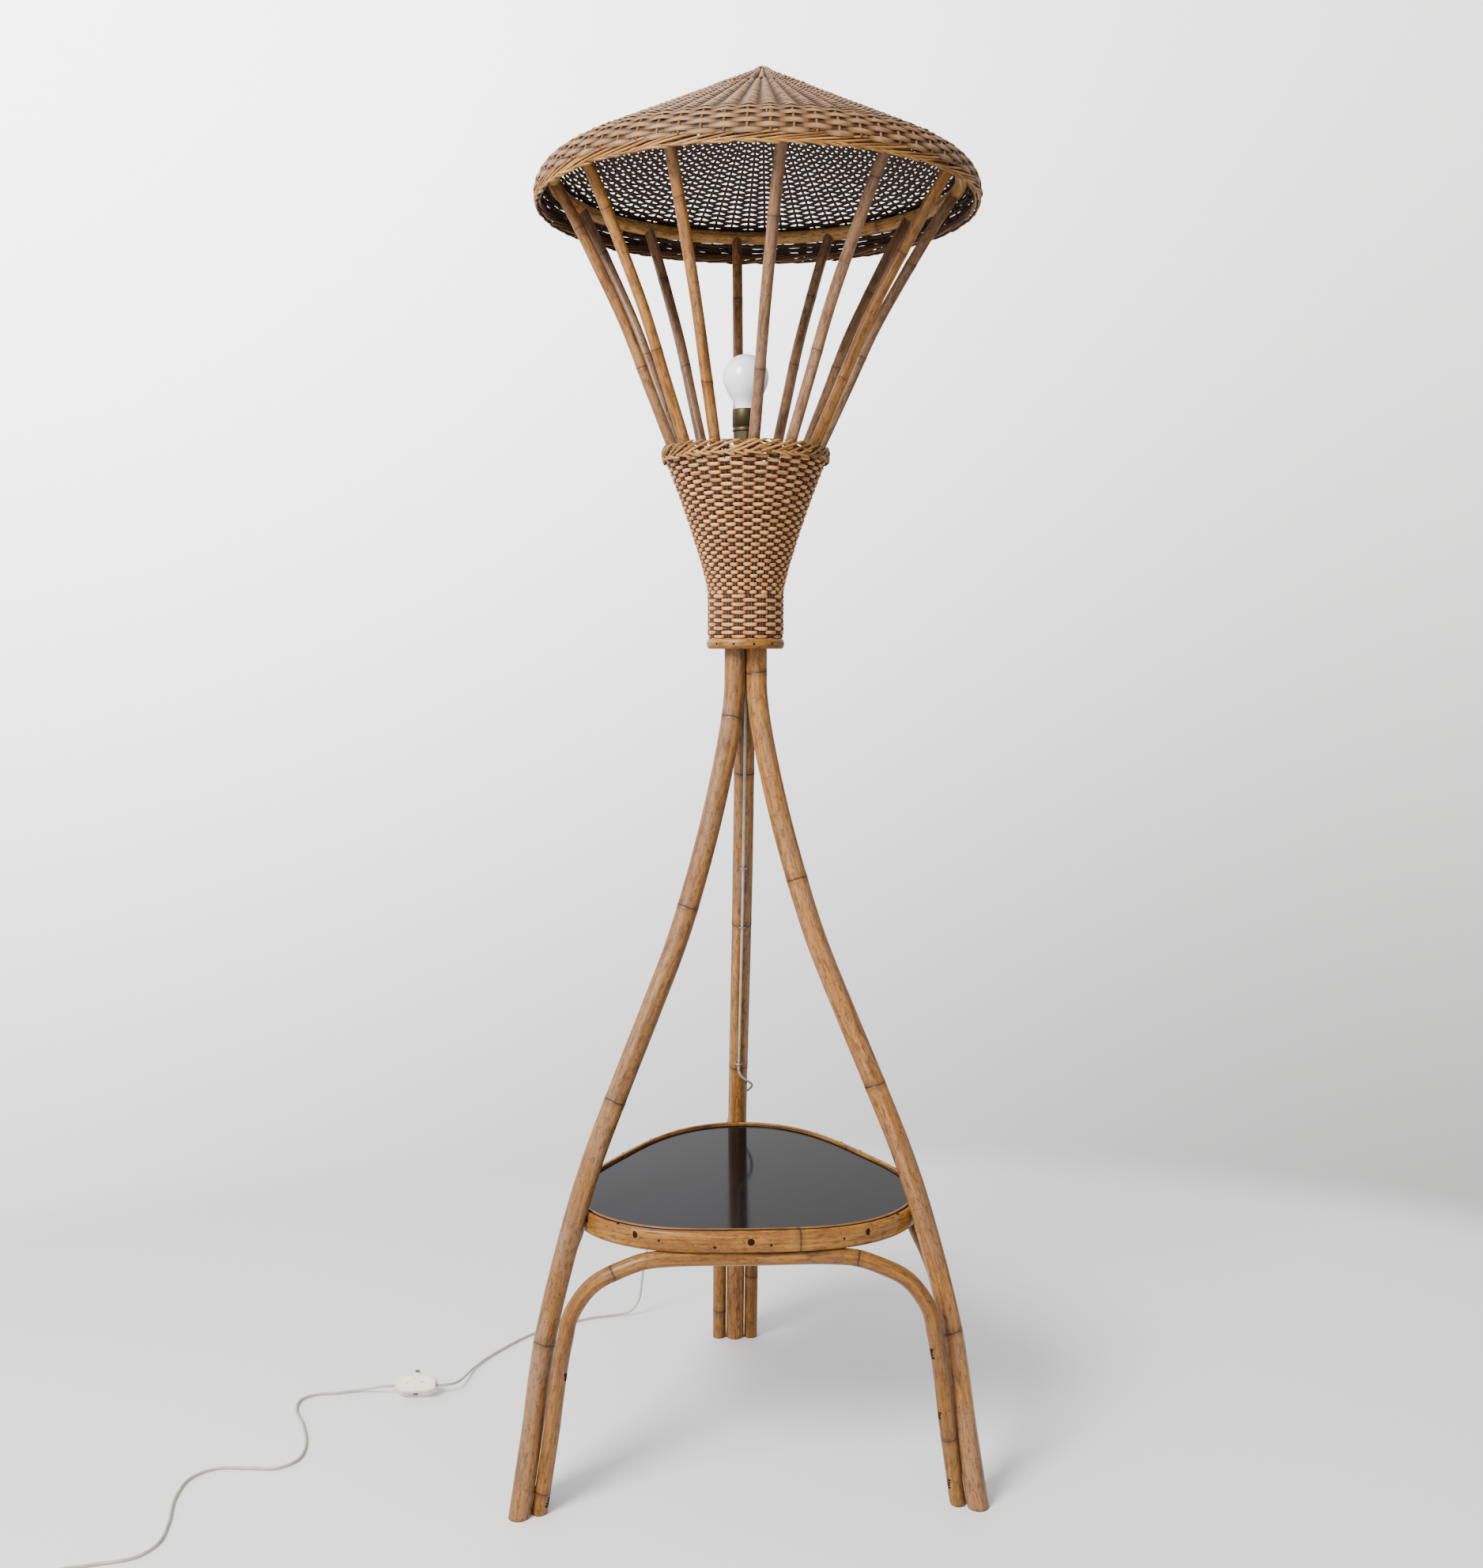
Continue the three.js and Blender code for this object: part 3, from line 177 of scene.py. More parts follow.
def skin(name, points, closed=False, caps=True, **layers):
    """A mesh over a grid of points: rows along a piece, columns round it. The columns close on
    themselves, and the rows do where closed is true or else end in flat caps. Each layer is an
    attribute with one number, or three, for each point of the grid."""
    layers = {key: np.asarray(value)[None] for key, value in layers.items()}
    return bundle_mesh(name, points[None], closed, caps, layers)


def bundle_mesh(name, points, closed, caps, layers):
    """Several such grids of one size as a single mesh: piece, row, column, place."""
    count, rows, columns = points.shape[:3]
    base = (np.arange(count) * rows * columns)[:, None, None]
    i = np.arange(rows if closed else rows - 1)[None, :, None]
    k = np.arange(columns)[None, None, :]
    after, beside = (i + 1) % rows, (k + 1) % columns
    quads = base[..., None] + grid(i * columns + k, i * columns + beside,
                                   after * columns + beside, after * columns + k)
    quads = quads.reshape(-1, 4)
    ends = np.zeros((0, columns), int)
    if caps and not closed:
        first = base[:, 0] + np.arange(columns)[None, ::-1]
        ends = np.vstack([first, base[:, 0] + (rows - 1) * columns + np.arange(columns)[None]])
    mesh = bpy.data.meshes.new(name)
    verts = points.reshape(-1, 3) * MM + np.array([0, FORWARD * MM, 0])
    loops = np.concatenate([quads.ravel(), ends.ravel()]).astype(np.int32)
    sizes = np.concatenate([np.full(len(quads), 4), np.full(len(ends), columns)])
    starts = np.concatenate([[0], np.cumsum(sizes)[:-1]]).astype(np.int32)
    mesh.vertices.add(len(verts))
    mesh.vertices.foreach_set("co", verts.ravel().astype(np.float32))
    mesh.loops.add(len(loops))
    mesh.loops.foreach_set("vertex_index", loops)
    mesh.polygons.add(len(sizes))
    mesh.polygons.foreach_set("loop_start", starts)
    mesh.polygons.foreach_set("use_smooth", np.arange(len(sizes)) < len(quads))
    mesh.update(calc_edges=True)
    for layer, values in layers.items():
        kind, slot = ("FLOAT_VECTOR", "vector") if values.ndim == 4 else ("FLOAT", "value")
        data = mesh.attributes.new(layer, kind, "POINT").data
        data.foreach_set(slot, np.ascontiguousarray(values, np.float32).ravel())
    piece = bpy.data.objects.new(name, mesh)
    bpy.context.scene.collection.objects.link(piece)
    return piece


# How far apart two strands lie in their texture
STRAND_STEP = 1.7


def bundle(name, lines, out, deep, wide, sides=6, closed=False, over=0.5, first=0):
    """Many strands as one mesh. Each line carries an oval whose half sizes are deep along out and
    wide across it: place = line + out deep cos(b) + across wide sin(b). The attributes are the
    length along a strand with the strand's number and the way across it, how far it lies on
    the outside, and how far a place faces the inside."""
    along = headings(lines, closed)
    across = unit(np.cross(along, out))
    face = np.cross(across, along)
    b = np.arange(sides) / sides * TAU
    deep, wide, over = (np.broadcast_to(v, lines.shape[:2])[..., None] for v in (deep, wide, over))
    points = (lines[:, :, None] + face[:, :, None] * (deep * np.cos(b))[..., None]
              + across[:, :, None] * (wide * np.sin(b))[..., None])
    number = (np.arange(len(lines)) + first)[:, None, None] * STRAND_STEP
    strand = grid(lengths(lines)[..., None] * MM, number, wide * np.sin(b) * MM)
    shape = strand.shape[:-1]
    return bundle_mesh(name, points, closed, True, {
        "strand": strand, "over": np.broadcast_to(over, shape),
        "inner": np.broadcast_to(-np.cos(b), shape)})


def joined(name, pieces):
    """Several pieces made one."""
    bpy.ops.object.select_all(action="DESELECT")
    for piece in pieces:
        piece.select_set(True)
    bpy.context.view_layer.objects.active = pieces[0]
    bpy.ops.object.join()
    pieces[0].name = pieces[0].data.name = name
    return pieces[0]


def place(piece, material, slot, body="lamp", nodes=()):
    """Gives a piece its finish and its body, and the solids that it stands for."""
    piece.data.materials.clear()
    piece.data.materials.append(material)
    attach(piece, body)
    if nodes:
        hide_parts(*nodes)
    return piece


# Shader sums


class Wire:
    """One socket of a material's nodes, with sums written as Python sums."""

    def __init__(self, shop, socket):
        self.shop, self.socket = shop, socket

    def maths(self, operation, *others):
        values = dict(enumerate((self, *others)))
        return self.shop.node("ShaderNodeMath", values, operation=operation)[0]

    __add__ = partialmethod(maths, "ADD")
    __sub__ = partialmethod(maths, "SUBTRACT")
    __mul__ = partialmethod(maths, "MULTIPLY")
    __pow__ = partialmethod(maths, "POWER")

    def __rsub__(self, other):
        return self.shop.node("ShaderNodeMath", {0: other, 1: self}, operation="SUBTRACT")[0]

    def within(self, low, high):
        """0 at low and 1 at high, smooth between and held beyond."""
        values = {0: self, 1: low, 2: high, 3: 0.0, 4: 1.0}
        return self.shop.node("ShaderNodeMapRange", values, interpolation_type="SMOOTHSTEP")[0]


class Shop:
    """The node tree of a material or a world and the ways to add to it."""

    def __init__(self, owner):
        owner.use_nodes = True
        self.owner, self.tree = owner, owner.node_tree

    def node(self, kind, sockets=None, **settings):
        """Adds a node of a type, with its settings and its sockets' values or links."""
        made = self.tree.nodes.new(kind)
        for key, value in settings.items():
            setattr(made, key, value)
        for key, value in (sockets or {}).items():
            self.feed(made.inputs[key], value)
        return [Wire(self, socket) for socket in made.outputs]

    def feed(self, socket, value):
        if isinstance(value, Wire):
            self.tree.links.new(value.socket, socket)
        elif isinstance(value, tuple) and len(value) == 3 and socket.type == "RGBA":
            socket.default_value = (*value, 1)
        else:
            socket.default_value = value

    def set(self, **inputs):
        """Feeds the shader's own inputs."""
        for key, value in inputs.items():
            self.feed(self.tree.nodes["Principled BSDF"].inputs[key.replace("_", " ")], value)

    def own(self, layer):
        """An attribute of the piece, as a vector and as a number."""
        return self.node("ShaderNodeAttribute", attribute_name=layer)[1:3]

    def spot(self):
        """The place on the piece, in metres."""
        return self.node("ShaderNodeTexCoord")[3]

    def noise(self, vector, scale, detail, roughness=0.55, warp=0.0):
        """Noise over a vector, of one scale or of one for each of its axes."""
        if isinstance(scale, tuple):
            sockets = {0: vector, 1: scale}
            vector = self.node("ShaderNodeVectorMath", sockets, operation="MULTIPLY")[0]
            scale = 1.0
        return self.node("ShaderNodeTexNoise", {
            "Vector": vector, "Scale": scale, "Detail": detail, "Roughness": roughness,
            "Distortion": warp})[0]

    def layered(self, base, *layers):
        """A colour with others laid over it in turn, each by its factor."""
        for factor, tone in layers:
            base = self.node("ShaderNodeMix", {0: factor, 6: base, 7: tone}, data_type="RGBA")[2]
        return base

    def relief(self, height, depth, strength):
        """A bump that feeds the shader's normal; height runs from 0 to 1, depth is in metres."""
        bump = {"Height": height, "Distance": depth, "Strength": strength}
        self.set(Normal=self.node("ShaderNodeBump", bump)[0])


# The camera, where the photograph was taken from

LENS, SENSOR = 35.93, 36
CAMERA_PLACE = (-0.09022392, -2.02946388, 1.06558844)
CAMERA_RIGHT = Vector((0.99909302, -0.04256186, 0.0012745))
CAMERA_UP = Vector((0.00258484, 0.09049804, 0.99589328))
CAMERA_AHEAD = Vector((0.04250241, 0.99498673, -0.09052597))


def aim_camera():
    data = bpy.data.cameras.new("view")
    data.sensor_fit = "VERTICAL"
    data.sensor_width = data.sensor_height = SENSOR
    data.lens = LENS
    data.clip_start, data.clip_end = 0.02, 60
    camera = bpy.data.objects.new("view", data)
    bpy.context.scene.collection.objects.link(camera)
    turn = Matrix((CAMERA_RIGHT, CAMERA_UP, -CAMERA_AHEAD)).transposed().to_4x4()
    camera.matrix_world = Matrix.Translation(CAMERA_PLACE) @ turn
    bpy.context.scene.camera = camera


aim_camera()

# Lines of the frame

UPPER_BEND = [
    (0.006, 0.975), (0.022, 0.935), (0.065, 0.861), (0.15, 0.743), (0.248, 0.63),
    (0.366, 0.514), (0.543, 0.376), (0.717, 0.245), (0.881, 0.116),
]
LOWER_BEND = [(0.518, 0.607), (0.765, 0.283)]


def leg_outline():
    """A pole's centre line in its own upright plane: down the trunk, out in an S bend to the
    table's corner and on to the foot."""
    line = [(TRUNK_RADIUS, TRUNK_TOP), (TRUNK_RADIUS, between(SPLIT, TRUNK_TOP, 0.5)),
            (TRUNK_RADIUS, SPLIT)]
    line += [(between(TRUNK_RADIUS, LEG_AT_TABLE, out), between(RIM_MIDDLE, SPLIT, rise))
             for out, rise in UPPER_BEND]
    line.append((LEG_AT_TABLE, RIM_MIDDLE))
    line += [(between(LEG_AT_TABLE, FOOT_REACH, out), RIM_MIDDLE * rise)
             for out, rise in LOWER_BEND]
    line.append((FOOT_REACH, 0))
    return np.array([(out, 0, height) for out, height in line])


LEG_LINE = spline(leg_outline(), 1500)


def leg_at(height):
    """The pole's centre and its underside's direction at a height."""
    i = int(np.argmin(np.abs(LEG_LINE[:, 2] - height)))
    along = unit(LEG_LINE[min(i + 1, len(LEG_LINE) - 1)] - LEG_LINE[i - 1])
    centre = np.array([np.interp(-height, -LEG_LINE[:, 2], LEG_LINE[:, 0]), 0, height])
    return centre, np.array([along[2], 0, -along[0]])


# Where a pole has points round a growth ring, how far a ring's mark reaches, and the distance
# that stands for no ring
AROUND_RING = (-9, -6, -4, -2.4, -1.3, -0.5, 0, 0.5, 1.3, 2.4, 4, 6, 9)
RING_REACH = 30
NO_RING = 50.0


def tube(name, line, radius, sides, facing, step=4.0, rings=(), floor=None, closed=False,
         swell=0.03, groove=0.35, wander=0.012, start=0.0, taper=None):
    """A round pole along a line: radius r = R(1 + swell e^-(d/5)^2 + slow wander) - groove
    e^-(d/0.9)^2, where d is the distance along it to the nearest growth ring. At angle a the mark
    of the ring at length s is off by R(0.13 sin(2.3 s) cos(a + s) + 0.035 cos(3 a + s)). On the
    floor its end is cut level along its line, or what lies lower is lifted."""
    rings = np.asarray(rings, float)
    if closed:
        line = np.vstack([line, line[:1]])
    line, at = even(line, step, np.add.outer(rings, AROUND_RING).ravel())
    if closed:
        line, at = line[:-1], at[:-1]
    away = np.full(len(at), NO_RING)
    if len(rings):
        away = at[:, None] - rings
        nearest = np.abs(away).argmin(1)
        away = away[np.arange(len(at)), nearest]
    slow = sum(rand(1)[0] * np.sin(at / w + rand(1)[0] * 3) for w in (23, 41, 90)) * wander
    r = radius * (1 + swell * np.exp(-(away / 5) ** 2) + (0 if closed else slow))
    r = r - groove * np.exp(-(away / 0.9) ** 2)
    if taper is not None:
        r = r * np.interp(at / at[-1], *taper)
    along = headings(line, closed)
    side = unit(np.cross(facing, along))
    a = -np.arange(sides) / sides * TAU
    points = line[:, None] + r[:, None, None] * (
        np.cos(a)[:, None] * np.cross(along, side)[:, None] + np.sin(a)[:, None] * side[:, None])
    if floor == "lifted":
        points[..., 2] = np.maximum(points[..., 2], 0)
    if floor == "cut":
        along = line[-1] - line[-2]
        slide = -points[..., 2] / along[2]
        slide[:-1] = np.where(points[:-1, :, 2] < 0, slide[:-1], 0)
        points = points + slide[..., None] * along
    grain = grid((at + start)[:, None] * MM, radius * MM * np.cos(a), radius * MM * np.sin(a))
    ring = np.clip(away, -RING_REACH, RING_REACH)[:, None] + 0 * a
    if len(rings):
        own = rings[nearest][:, None]
        ring = ring + radius * (0.13 * np.sin(2.3 * own) * np.cos(a + own)
                                + 0.035 * np.cos(3 * a + own))
    return skin(name, points, closed, grain=grain, ring=ring * MM)


# Cords come first: their routes lie on the floor, from the back pole to the switch, and from
# there to a coil beside the picture

CLIP_HEIGHTS = [TABLE_HEIGHT + share * (SPLIT - TABLE_HEIGHT) for share in (0.631, 0.5, 0.164)]
CORD_WRAP = [
    (13, 0, 1), (21, 12, 1.03), (30, 38, 1.14), (40, 68, 1.24), (52, 98, 1.32),
    (65, 128, 1.4), (77, 157, 1.5), (88, 182, 1.7),
]
CORD_TO_SWITCH = [
    (-6, 272, 377), (-12, 281, 356), (-24, 293, 328), (-45, 309, 294), (-74, 328, 253),
    (-103, 347, 206), (-126, 363, 156), (-138, 377, 108), (-144, 389, 66), (-149, 398, 30),
    (-162, 403, 9), (-184, 403, 3.2),
    (-226, 393, 2.4), (-272, 369, 2.4), (-312, 340, 2.4), (-345, 300, 2.4), (-373, 258, 2.6),
    (-388, 224, 4), (-394.5, 198, 6.9), (-400, 174.5, 10.4), (-408.5, 158, 13.7),
]
CORD_TO_COIL = [
    (-508, 153.5, 13.6), (-527, 161, 7), (-548, 164, 3), (-575, 159, 2.4), (-600, 157, 2.4),
    (-618, 142, 2.4), (-618, 113, 2.4), (-599, 70, 2.4), (-583, 17, 2.4), (-584, -22, 2.4),
    (-606, -42, 2.4), (-640, -41, 2.4), (-684, -40, 2.4), (-710, -62, 2.4), (-715, -108, 2.4),
    (-705, -167, 2.4), (-704, -208, 2.4), (-721, -235, 2.4), (-760, -247, 2.4),
    (-796, -255, 2.4), (-820, -268, 2.6),
]
SWITCH = np.array([-458.5, 150.5, 15.6])
SWITCH_LENGTH, CORD_IN_SWITCH = 57, 7
COIL_CENTRE = (-800.0, -308.0)
COIL_TURNS = 6 + 100 / 360
COIL_START = math.radians(170)
COIL_PITCH = CORD + 0.6
COIL_INNER = 5.5 * CORD - COIL_PITCH * COIL_TURNS / 4
COIL_HEIGHT = 0.8 + 2 * FIT + CORD / 2
PLUG = (-722.0, -337.5, 6.5)
PLUG_HALF, SLEEVE, SLEEVE_SEAT, CORD_IN_SLEEVE = 17, 22, 2, 19.7
SLEEVE_START = PLUG[0] - PLUG_HALF - SLEEVE + SLEEVE_SEAT
LEAD_STEP = 2.5


def wrap_points():
    """The cord's loose turn round the back pole: out from the pole's centre line by a share of
    the clipped cord's distance, turned round it from its underside."""
    points = []
    for drop, degrees, share in CORD_WRAP:
        centre, under = leg_at(CLIP_HEIGHTS[-1] - drop)
        angle = math.radians(degrees)
        out = under * math.cos(angle) + np.array([0, -1, 0]) * math.sin(angle)
        points.append(centre + out * STAND_OFF * share)
    return turned(np.array(points), LEG_ANGLES[0])


def coil_line():
    """The coil: radius r = inner + pitch |t - T/2| at turn t of T, and one pitch of climb in the
    half turn where the winding goes back out."""
    turn = np.linspace(0, COIL_TURNS, 460)
    middle = turn - COIL_TURNS / 2
    radius = COIL_INNER + COIL_PITCH * np.abs(middle)
    height = COIL_HEIGHT + COIL_PITCH * eased((middle + 0.25) / 0.5)
    line = round_axis(radius, height, COIL_START + turn * TAU) + np.array([*COIL_CENTRE, 0])
    level = np.array([1, 1, 0])
    before, after = (a + unit((a - b) * level) * CORD
                     for a, b in ((line[0], line[1]), (line[-1], line[-2])))
    return np.vstack([before, line, after])


def leaving(end, before):
    """Two places where a line goes on straight past its end."""
    along = unit(end - before)
    return [end + along * FIT, end + along * CORD]


def switch_end(side, out):
    """A place on the cord's way out of the switch, on its right (1) or left (-1) side."""
    return SWITCH + np.array([side * (SWITCH_LENGTH / 2 - CORD_IN_SWITCH + FIT + out), 0, 0])


def lead(name, line):
    """A round cord along a line, with its own measure along it as an attribute."""
    return tube(name, line, CORD / 2 - CORD_THINNER, 12, (0.2, 0.1, 1), LEAD_STEP, swell=0,
                groove=0, wander=0)


def declare(line):
    """Works out a free cord's path in metres, and does nothing more with it."""
    path = line * MM + np.array([0, FORWARD * MM, 0])


def make_cords():
    """The stapled cord in the lamp, the run to the switch and the run on to the coil and plug."""
    highest = SPLIT - CORD / 2
    lowest = CLIP_HEIGHTS[-1] - CORD_WRAP[0][0] + 3 * FIT
    inside = [(0, 0, 1300.7), (0, 0, TRUNK_TOP), (0, 0, between(SPLIT, TRUNK_TOP, 0.5))]
    for height in np.linspace(highest, lowest, 16):
        centre, under = leg_at(height)
        inside.append(tuple(centre + under * STAND_OFF))
    stapled = turned(spline(inside, 260), LEG_ANGLES[0])
    ends = (11, 7, 0)
    to_switch = np.vstack([
        wrap_points(), CORD_TO_SWITCH, [switch_end(1, out) for out in ends]])
    coil = coil_line()
    start, stop = leaving(coil[0], coil[1]), leaving(coil[-1], coil[-2])
    to_coil = np.vstack([
        [switch_end(-1, out) for out in ends[::-1]], CORD_TO_COIL, start[1], start[0]])
    tail = np.vstack([
        stop[0], stop[1], (-784, -337.4, 7.4), (-773, -337.5, 6.7),
        (SLEEVE_START - CORD, *PLUG[1:]), (SLEEVE_START + CORD_IN_SLEEVE, *PLUG[1:])])
    to_plug = np.vstack([spline(to_coil, 900), coil, spline(tail, 60)])
    return {
        "lead_stapled": (stapled, ["lamp_cord"]),
        "lead_to_switch": (even(spline(to_switch, 900), LEAD_STEP)[0], ["cord_to_switch"]),
        "lead_to_plug": (even(to_plug, LEAD_STEP)[0], ["cord_to_coil", "cord_coil", "cord_tail"]),
    }


cords = make_cords()
leads = {name: lead(name, line) for name, (line, _) in cords.items()}
declare(cords["lead_to_switch"][0])
declare(cords["lead_to_plug"][0])


# Finishes


# The dark line at a growth ring
INK = (0.03, 0.012, 0.006)


def cane(name, pale, tan, grey, dark, patches=0.45, gloss=0.3, marks=1.0):
    """Varnished cane: long streaks and finer fibres along the pole, patches of greyer skin, a
    dark line with a brown halo at each growth ring, small specks, and a thin coat."""
    shop = Shop(bpy.data.materials.new(name))
    grain, _ = shop.own("grain")
    streak = shop.noise(grain, (7, 190, 190), 4.0, 0.6, 0.4)
    fibre = shop.noise(grain, (45, 1500, 1500), 2.0, 0.6)
    patch = shop.noise(grain, (6, 34, 34), 3.0, 0.6, 0.8)
    stain = shop.noise(grain, (17, 95, 95), 5.0, 0.7, 0.6)
    blotch = shop.noise(grain, (85, 260, 260), 4.0, 0.72, 0.4)
    speck = shop.noise(grain, (170, 420, 420), 1.0, 0.5)
    _, away = shop.own("ring")
    near = away.maths("ABSOLUTE")
    line = 1 - near.within(0.0002, 0.0017)
    halo = 1 - near.within(0.001, 0.012)
    above = away.within(0.001, 0.003) * (1 - away.within(0.004, 0.022))
    base = shop.layered(
        pale, (streak.within(0.36, 0.64), tan), (patch.within(0.48, 0.62) * patches, grey),
        (stain.within(0.5, 0.68) * 0.62, dark), (blotch.within(0.49, 0.63) * 0.62, dark),
        (fibre.within(0.5, 0.7) * 0.45, dark), (above * 0.35, pale),
        (halo * (streak.within(0.2, 0.8) * 0.35 * marks + 0.25 * marks), dark),
        (speck.within(0.66, 0.76) * 0.5, dark), (line * 0.85 * marks, INK))
    shop.set(Base_Color=base, Roughness=streak.within(0.2, 0.9) * 0.16 + gloss,
             Coat_Weight=0.08, Coat_Roughness=0.15, Specular_IOR_Level=0.2)
    height = fibre * 0.35 + streak * 0.4 - line * 0.8 - speck.within(0.66, 0.74) * 0.3
    shop.relief(height, 0.0004, 0.6)
    return shop.owner


def woven(name, pale, tan, dark, shade):
    """A woven strand: paler in blotches on the back of each bulge, which is a painted highlight,
    and browner where it dips behind a stake and on its inner face, which is painted shade; with
    fibres along the strand and a tone of its own for each row."""
    shop = Shop(bpy.data.materials.new(name))
    strand, _ = shop.own("strand")
    _, over = shop.own("over")
    inner = shop.own("inner")[1].within(-0.35, 0.45)
    tone = shop.noise(strand, (3.2, 3.7, 0), 3.0, 0.6)
    fibre = shop.noise(strand, (70, 11, 1500), 2.0, 0.6)
    blot = shop.noise(strand, (46, 5.3, 200), 2.0, 0.5)
    # The pale layer over the bulges is a painted highlight; the dark layer where over is low and
    # the near-black on the inner faces are painted shade.
    base = shop.layered(
        tan, (tone.within(0.34, 0.66), shade),
        (over.within(0.3, 0.95) * (blot.within(0.36, 0.62) * 0.7 + 0.2), pale),
        (fibre.within(0.48, 0.78) * 0.45, dark), ((1 - over.within(-0.3, 0.55)) * 0.85, dark),
        (inner * 0.9, (0.026, 0.01, 0.0045)))
    shop.set(Base_Color=base, Roughness=fibre * 0.2 + 0.4, Specular_IOR_Level=0.3)
    shop.relief(fibre, 0.0003, 0.7)
    return shop.owner


def braided(name, pale, tan, dark):
    """Strands of the rolled borders: golden, with painted shade at their ends, where they tuck
    under their neighbours, and on their inner side.
    """
    shop = Shop(bpy.data.materials.new(name))
    strand, _ = shop.own("strand")
    _, over = shop.own("over")
    inner = shop.own("inner")[1].within(0.1, 0.8)
    streak = shop.noise(strand, (20, 2.9, 400), 3.0, 0.6)
    fibre = shop.noise(strand, (70, 5.1, 1800), 2.0, 0.6)
    patch = shop.noise(strand, (12, 3.3, 0), 2.0, 0.5)
    # The dark layer where over is low, at the strands' tucked ends, and the near-black on their
    # inner side are painted shade.
    base = shop.layered(
        pale, (streak.within(0.35, 0.7), tan), (patch.within(0.45, 0.66) * 0.75, dark),
        (fibre.within(0.5, 0.75) * 0.35, dark), ((1 - over.within(0.1, 0.6)) * 0.7, dark),
        (inner * 0.85, (0.03, 0.011, 0.004)))
    shop.set(Base_Color=base, Roughness=fibre * 0.15 + 0.36, Specular_IOR_Level=0.3)
    shop.relief(fibre * 0.5 + streak * 0.5, 0.0003, 0.7)
    return shop.owner


def plain(name, base, rough, metal=0.0, spread=0.12, grain=300.0, depth=0.00005, **more):
    """A moulded or turned finish: a faint change of tone, dust in its roughness and a little
    relief."""
    shop = Shop(bpy.data.materials.new(name))
    spot = shop.spot()
    wide = shop.noise(spot, grain / 8, 2.0)
    fine = shop.noise(spot, grain * 4, 2.0)
    darker = tuple(value * (1 - spread * 2) for value in base)
    shop.set(Base_Color=shop.layered(base, (wide.within(0.35, 0.7), darker)),
             Roughness=fine * 0.12 + rough, Metallic=metal, **more)
    shop.relief(fine, depth, 0.5)
    return shop.owner


POLE_CANE = cane("pole_cane", (0.3, 0.136, 0.036), (0.17, 0.068, 0.014),
                 (0.19, 0.105, 0.055), (0.05, 0.018, 0.006), patches=0.6)
GREY_CANE = cane("grey_cane", (0.225, 0.107, 0.032), (0.14, 0.061, 0.017),
                 (0.18, 0.103, 0.058), (0.045, 0.018, 0.007), patches=0.7, gloss=0.38)
ARCH_CANE = cane("arch_cane", (0.225, 0.1, 0.02), (0.135, 0.052, 0.008),
                 (0.12, 0.06, 0.024), (0.045, 0.016, 0.005), patches=0.4)
ROD_CANE = cane("rod_cane", (0.32, 0.145, 0.034), (0.19, 0.074, 0.013),
                (0.2, 0.1, 0.045), (0.06, 0.022, 0.007), patches=0.6, marks=0.6)
BROWN_ROD_CANE = cane("brown_rod_cane", (0.28, 0.13, 0.045), (0.17, 0.072, 0.021),
                      (0.16, 0.088, 0.05), (0.045, 0.017, 0.007), patches=0.5, marks=0.6)
# The hoop's cane is paler than the poles': painted light, for the stronger light from below that
# falls on the hoop.
LIT_HOOP_CANE = cane("lit_hoop_cane", (0.46, 0.24, 0.065), (0.28, 0.13, 0.03),
                 (0.2, 0.12, 0.055), (0.05, 0.02, 0.006), patches=0.5)
PINK_ROD_CANE = cane("pink_rod_cane", (0.235, 0.13, 0.066), (0.15, 0.076, 0.036),
                     (0.15, 0.082, 0.055), (0.05, 0.02, 0.01), patches=0.7, marks=0.6)
DARK_ROD_CANE = cane("dark_rod_cane", (0.2, 0.105, 0.05), (0.13, 0.062, 0.027),
                     (0.125, 0.07, 0.04), (0.035, 0.014, 0.006), patches=0.6, marks=0.6)
WEAVE_CANE = woven("woven_cane", (0.6, 0.3, 0.1), (0.29, 0.115, 0.03),
                   (0.026, 0.008, 0.003), (0.2, 0.08, 0.028))
SHADE_CANE = woven("shade_cane", (0.3, 0.186, 0.108), (0.165, 0.094, 0.05),
                   (0.022, 0.009, 0.005), (0.105, 0.062, 0.037))
SHOULDER_CANE = woven("shoulder_cane", (0.28, 0.155, 0.066), (0.165, 0.078, 0.027),
                      (0.02, 0.008, 0.003), (0.12, 0.06, 0.024))
STAKE_CANE = woven("stake_cane", (0.3, 0.14, 0.04), (0.17, 0.07, 0.018),
                   (0.07, 0.026, 0.008), (0.14, 0.058, 0.018))
# The collar's stakes: a darker copy of the stakes' cane, painted shade for the deep gaps where
# they show between the rows.
SHADED_STAKE_CANE = woven("shaded_stake_cane", (0.12, 0.045, 0.014), (0.07, 0.025, 0.008),
                        (0.025, 0.009, 0.004), (0.06, 0.022, 0.008))
BRAID_CANE = braided("braided_cane", (0.38, 0.185, 0.046), (0.17, 0.066, 0.015),
                     (0.03, 0.01, 0.003))
RIM_CANE = cane("rim_cane", (0.27, 0.123, 0.02), (0.145, 0.053, 0.008),
                (0.12, 0.047, 0.011), (0.04, 0.014, 0.004), patches=0.4, gloss=0.28)
CREAM = plain("cream_cord", (0.36, 0.34, 0.3), 0.45, grain=500)
SWITCH_CREAM = plain("cream_plastic", (0.72, 0.68, 0.55), 0.34, grain=400)
BLACK = plain("black_plastic", (0.008, 0.008, 0.009), 0.36)
STEEL = plain("steel", (0.391572, 0.381326, 0.361307), 0.3, metal=1.0)
BRASS = plain("aged_brass", (0.045, 0.033, 0.01), 0.38, metal=0.7, spread=0.25, grain=160)
CERAMIC = plain("insulator", (0.45, 0.43, 0.38), 0.3)
BULB = plain("frosted_glass", (0.8, 0.79, 0.86), 0.2, spread=0.03, Coat_Weight=0.5,
             Coat_Roughness=0.1)
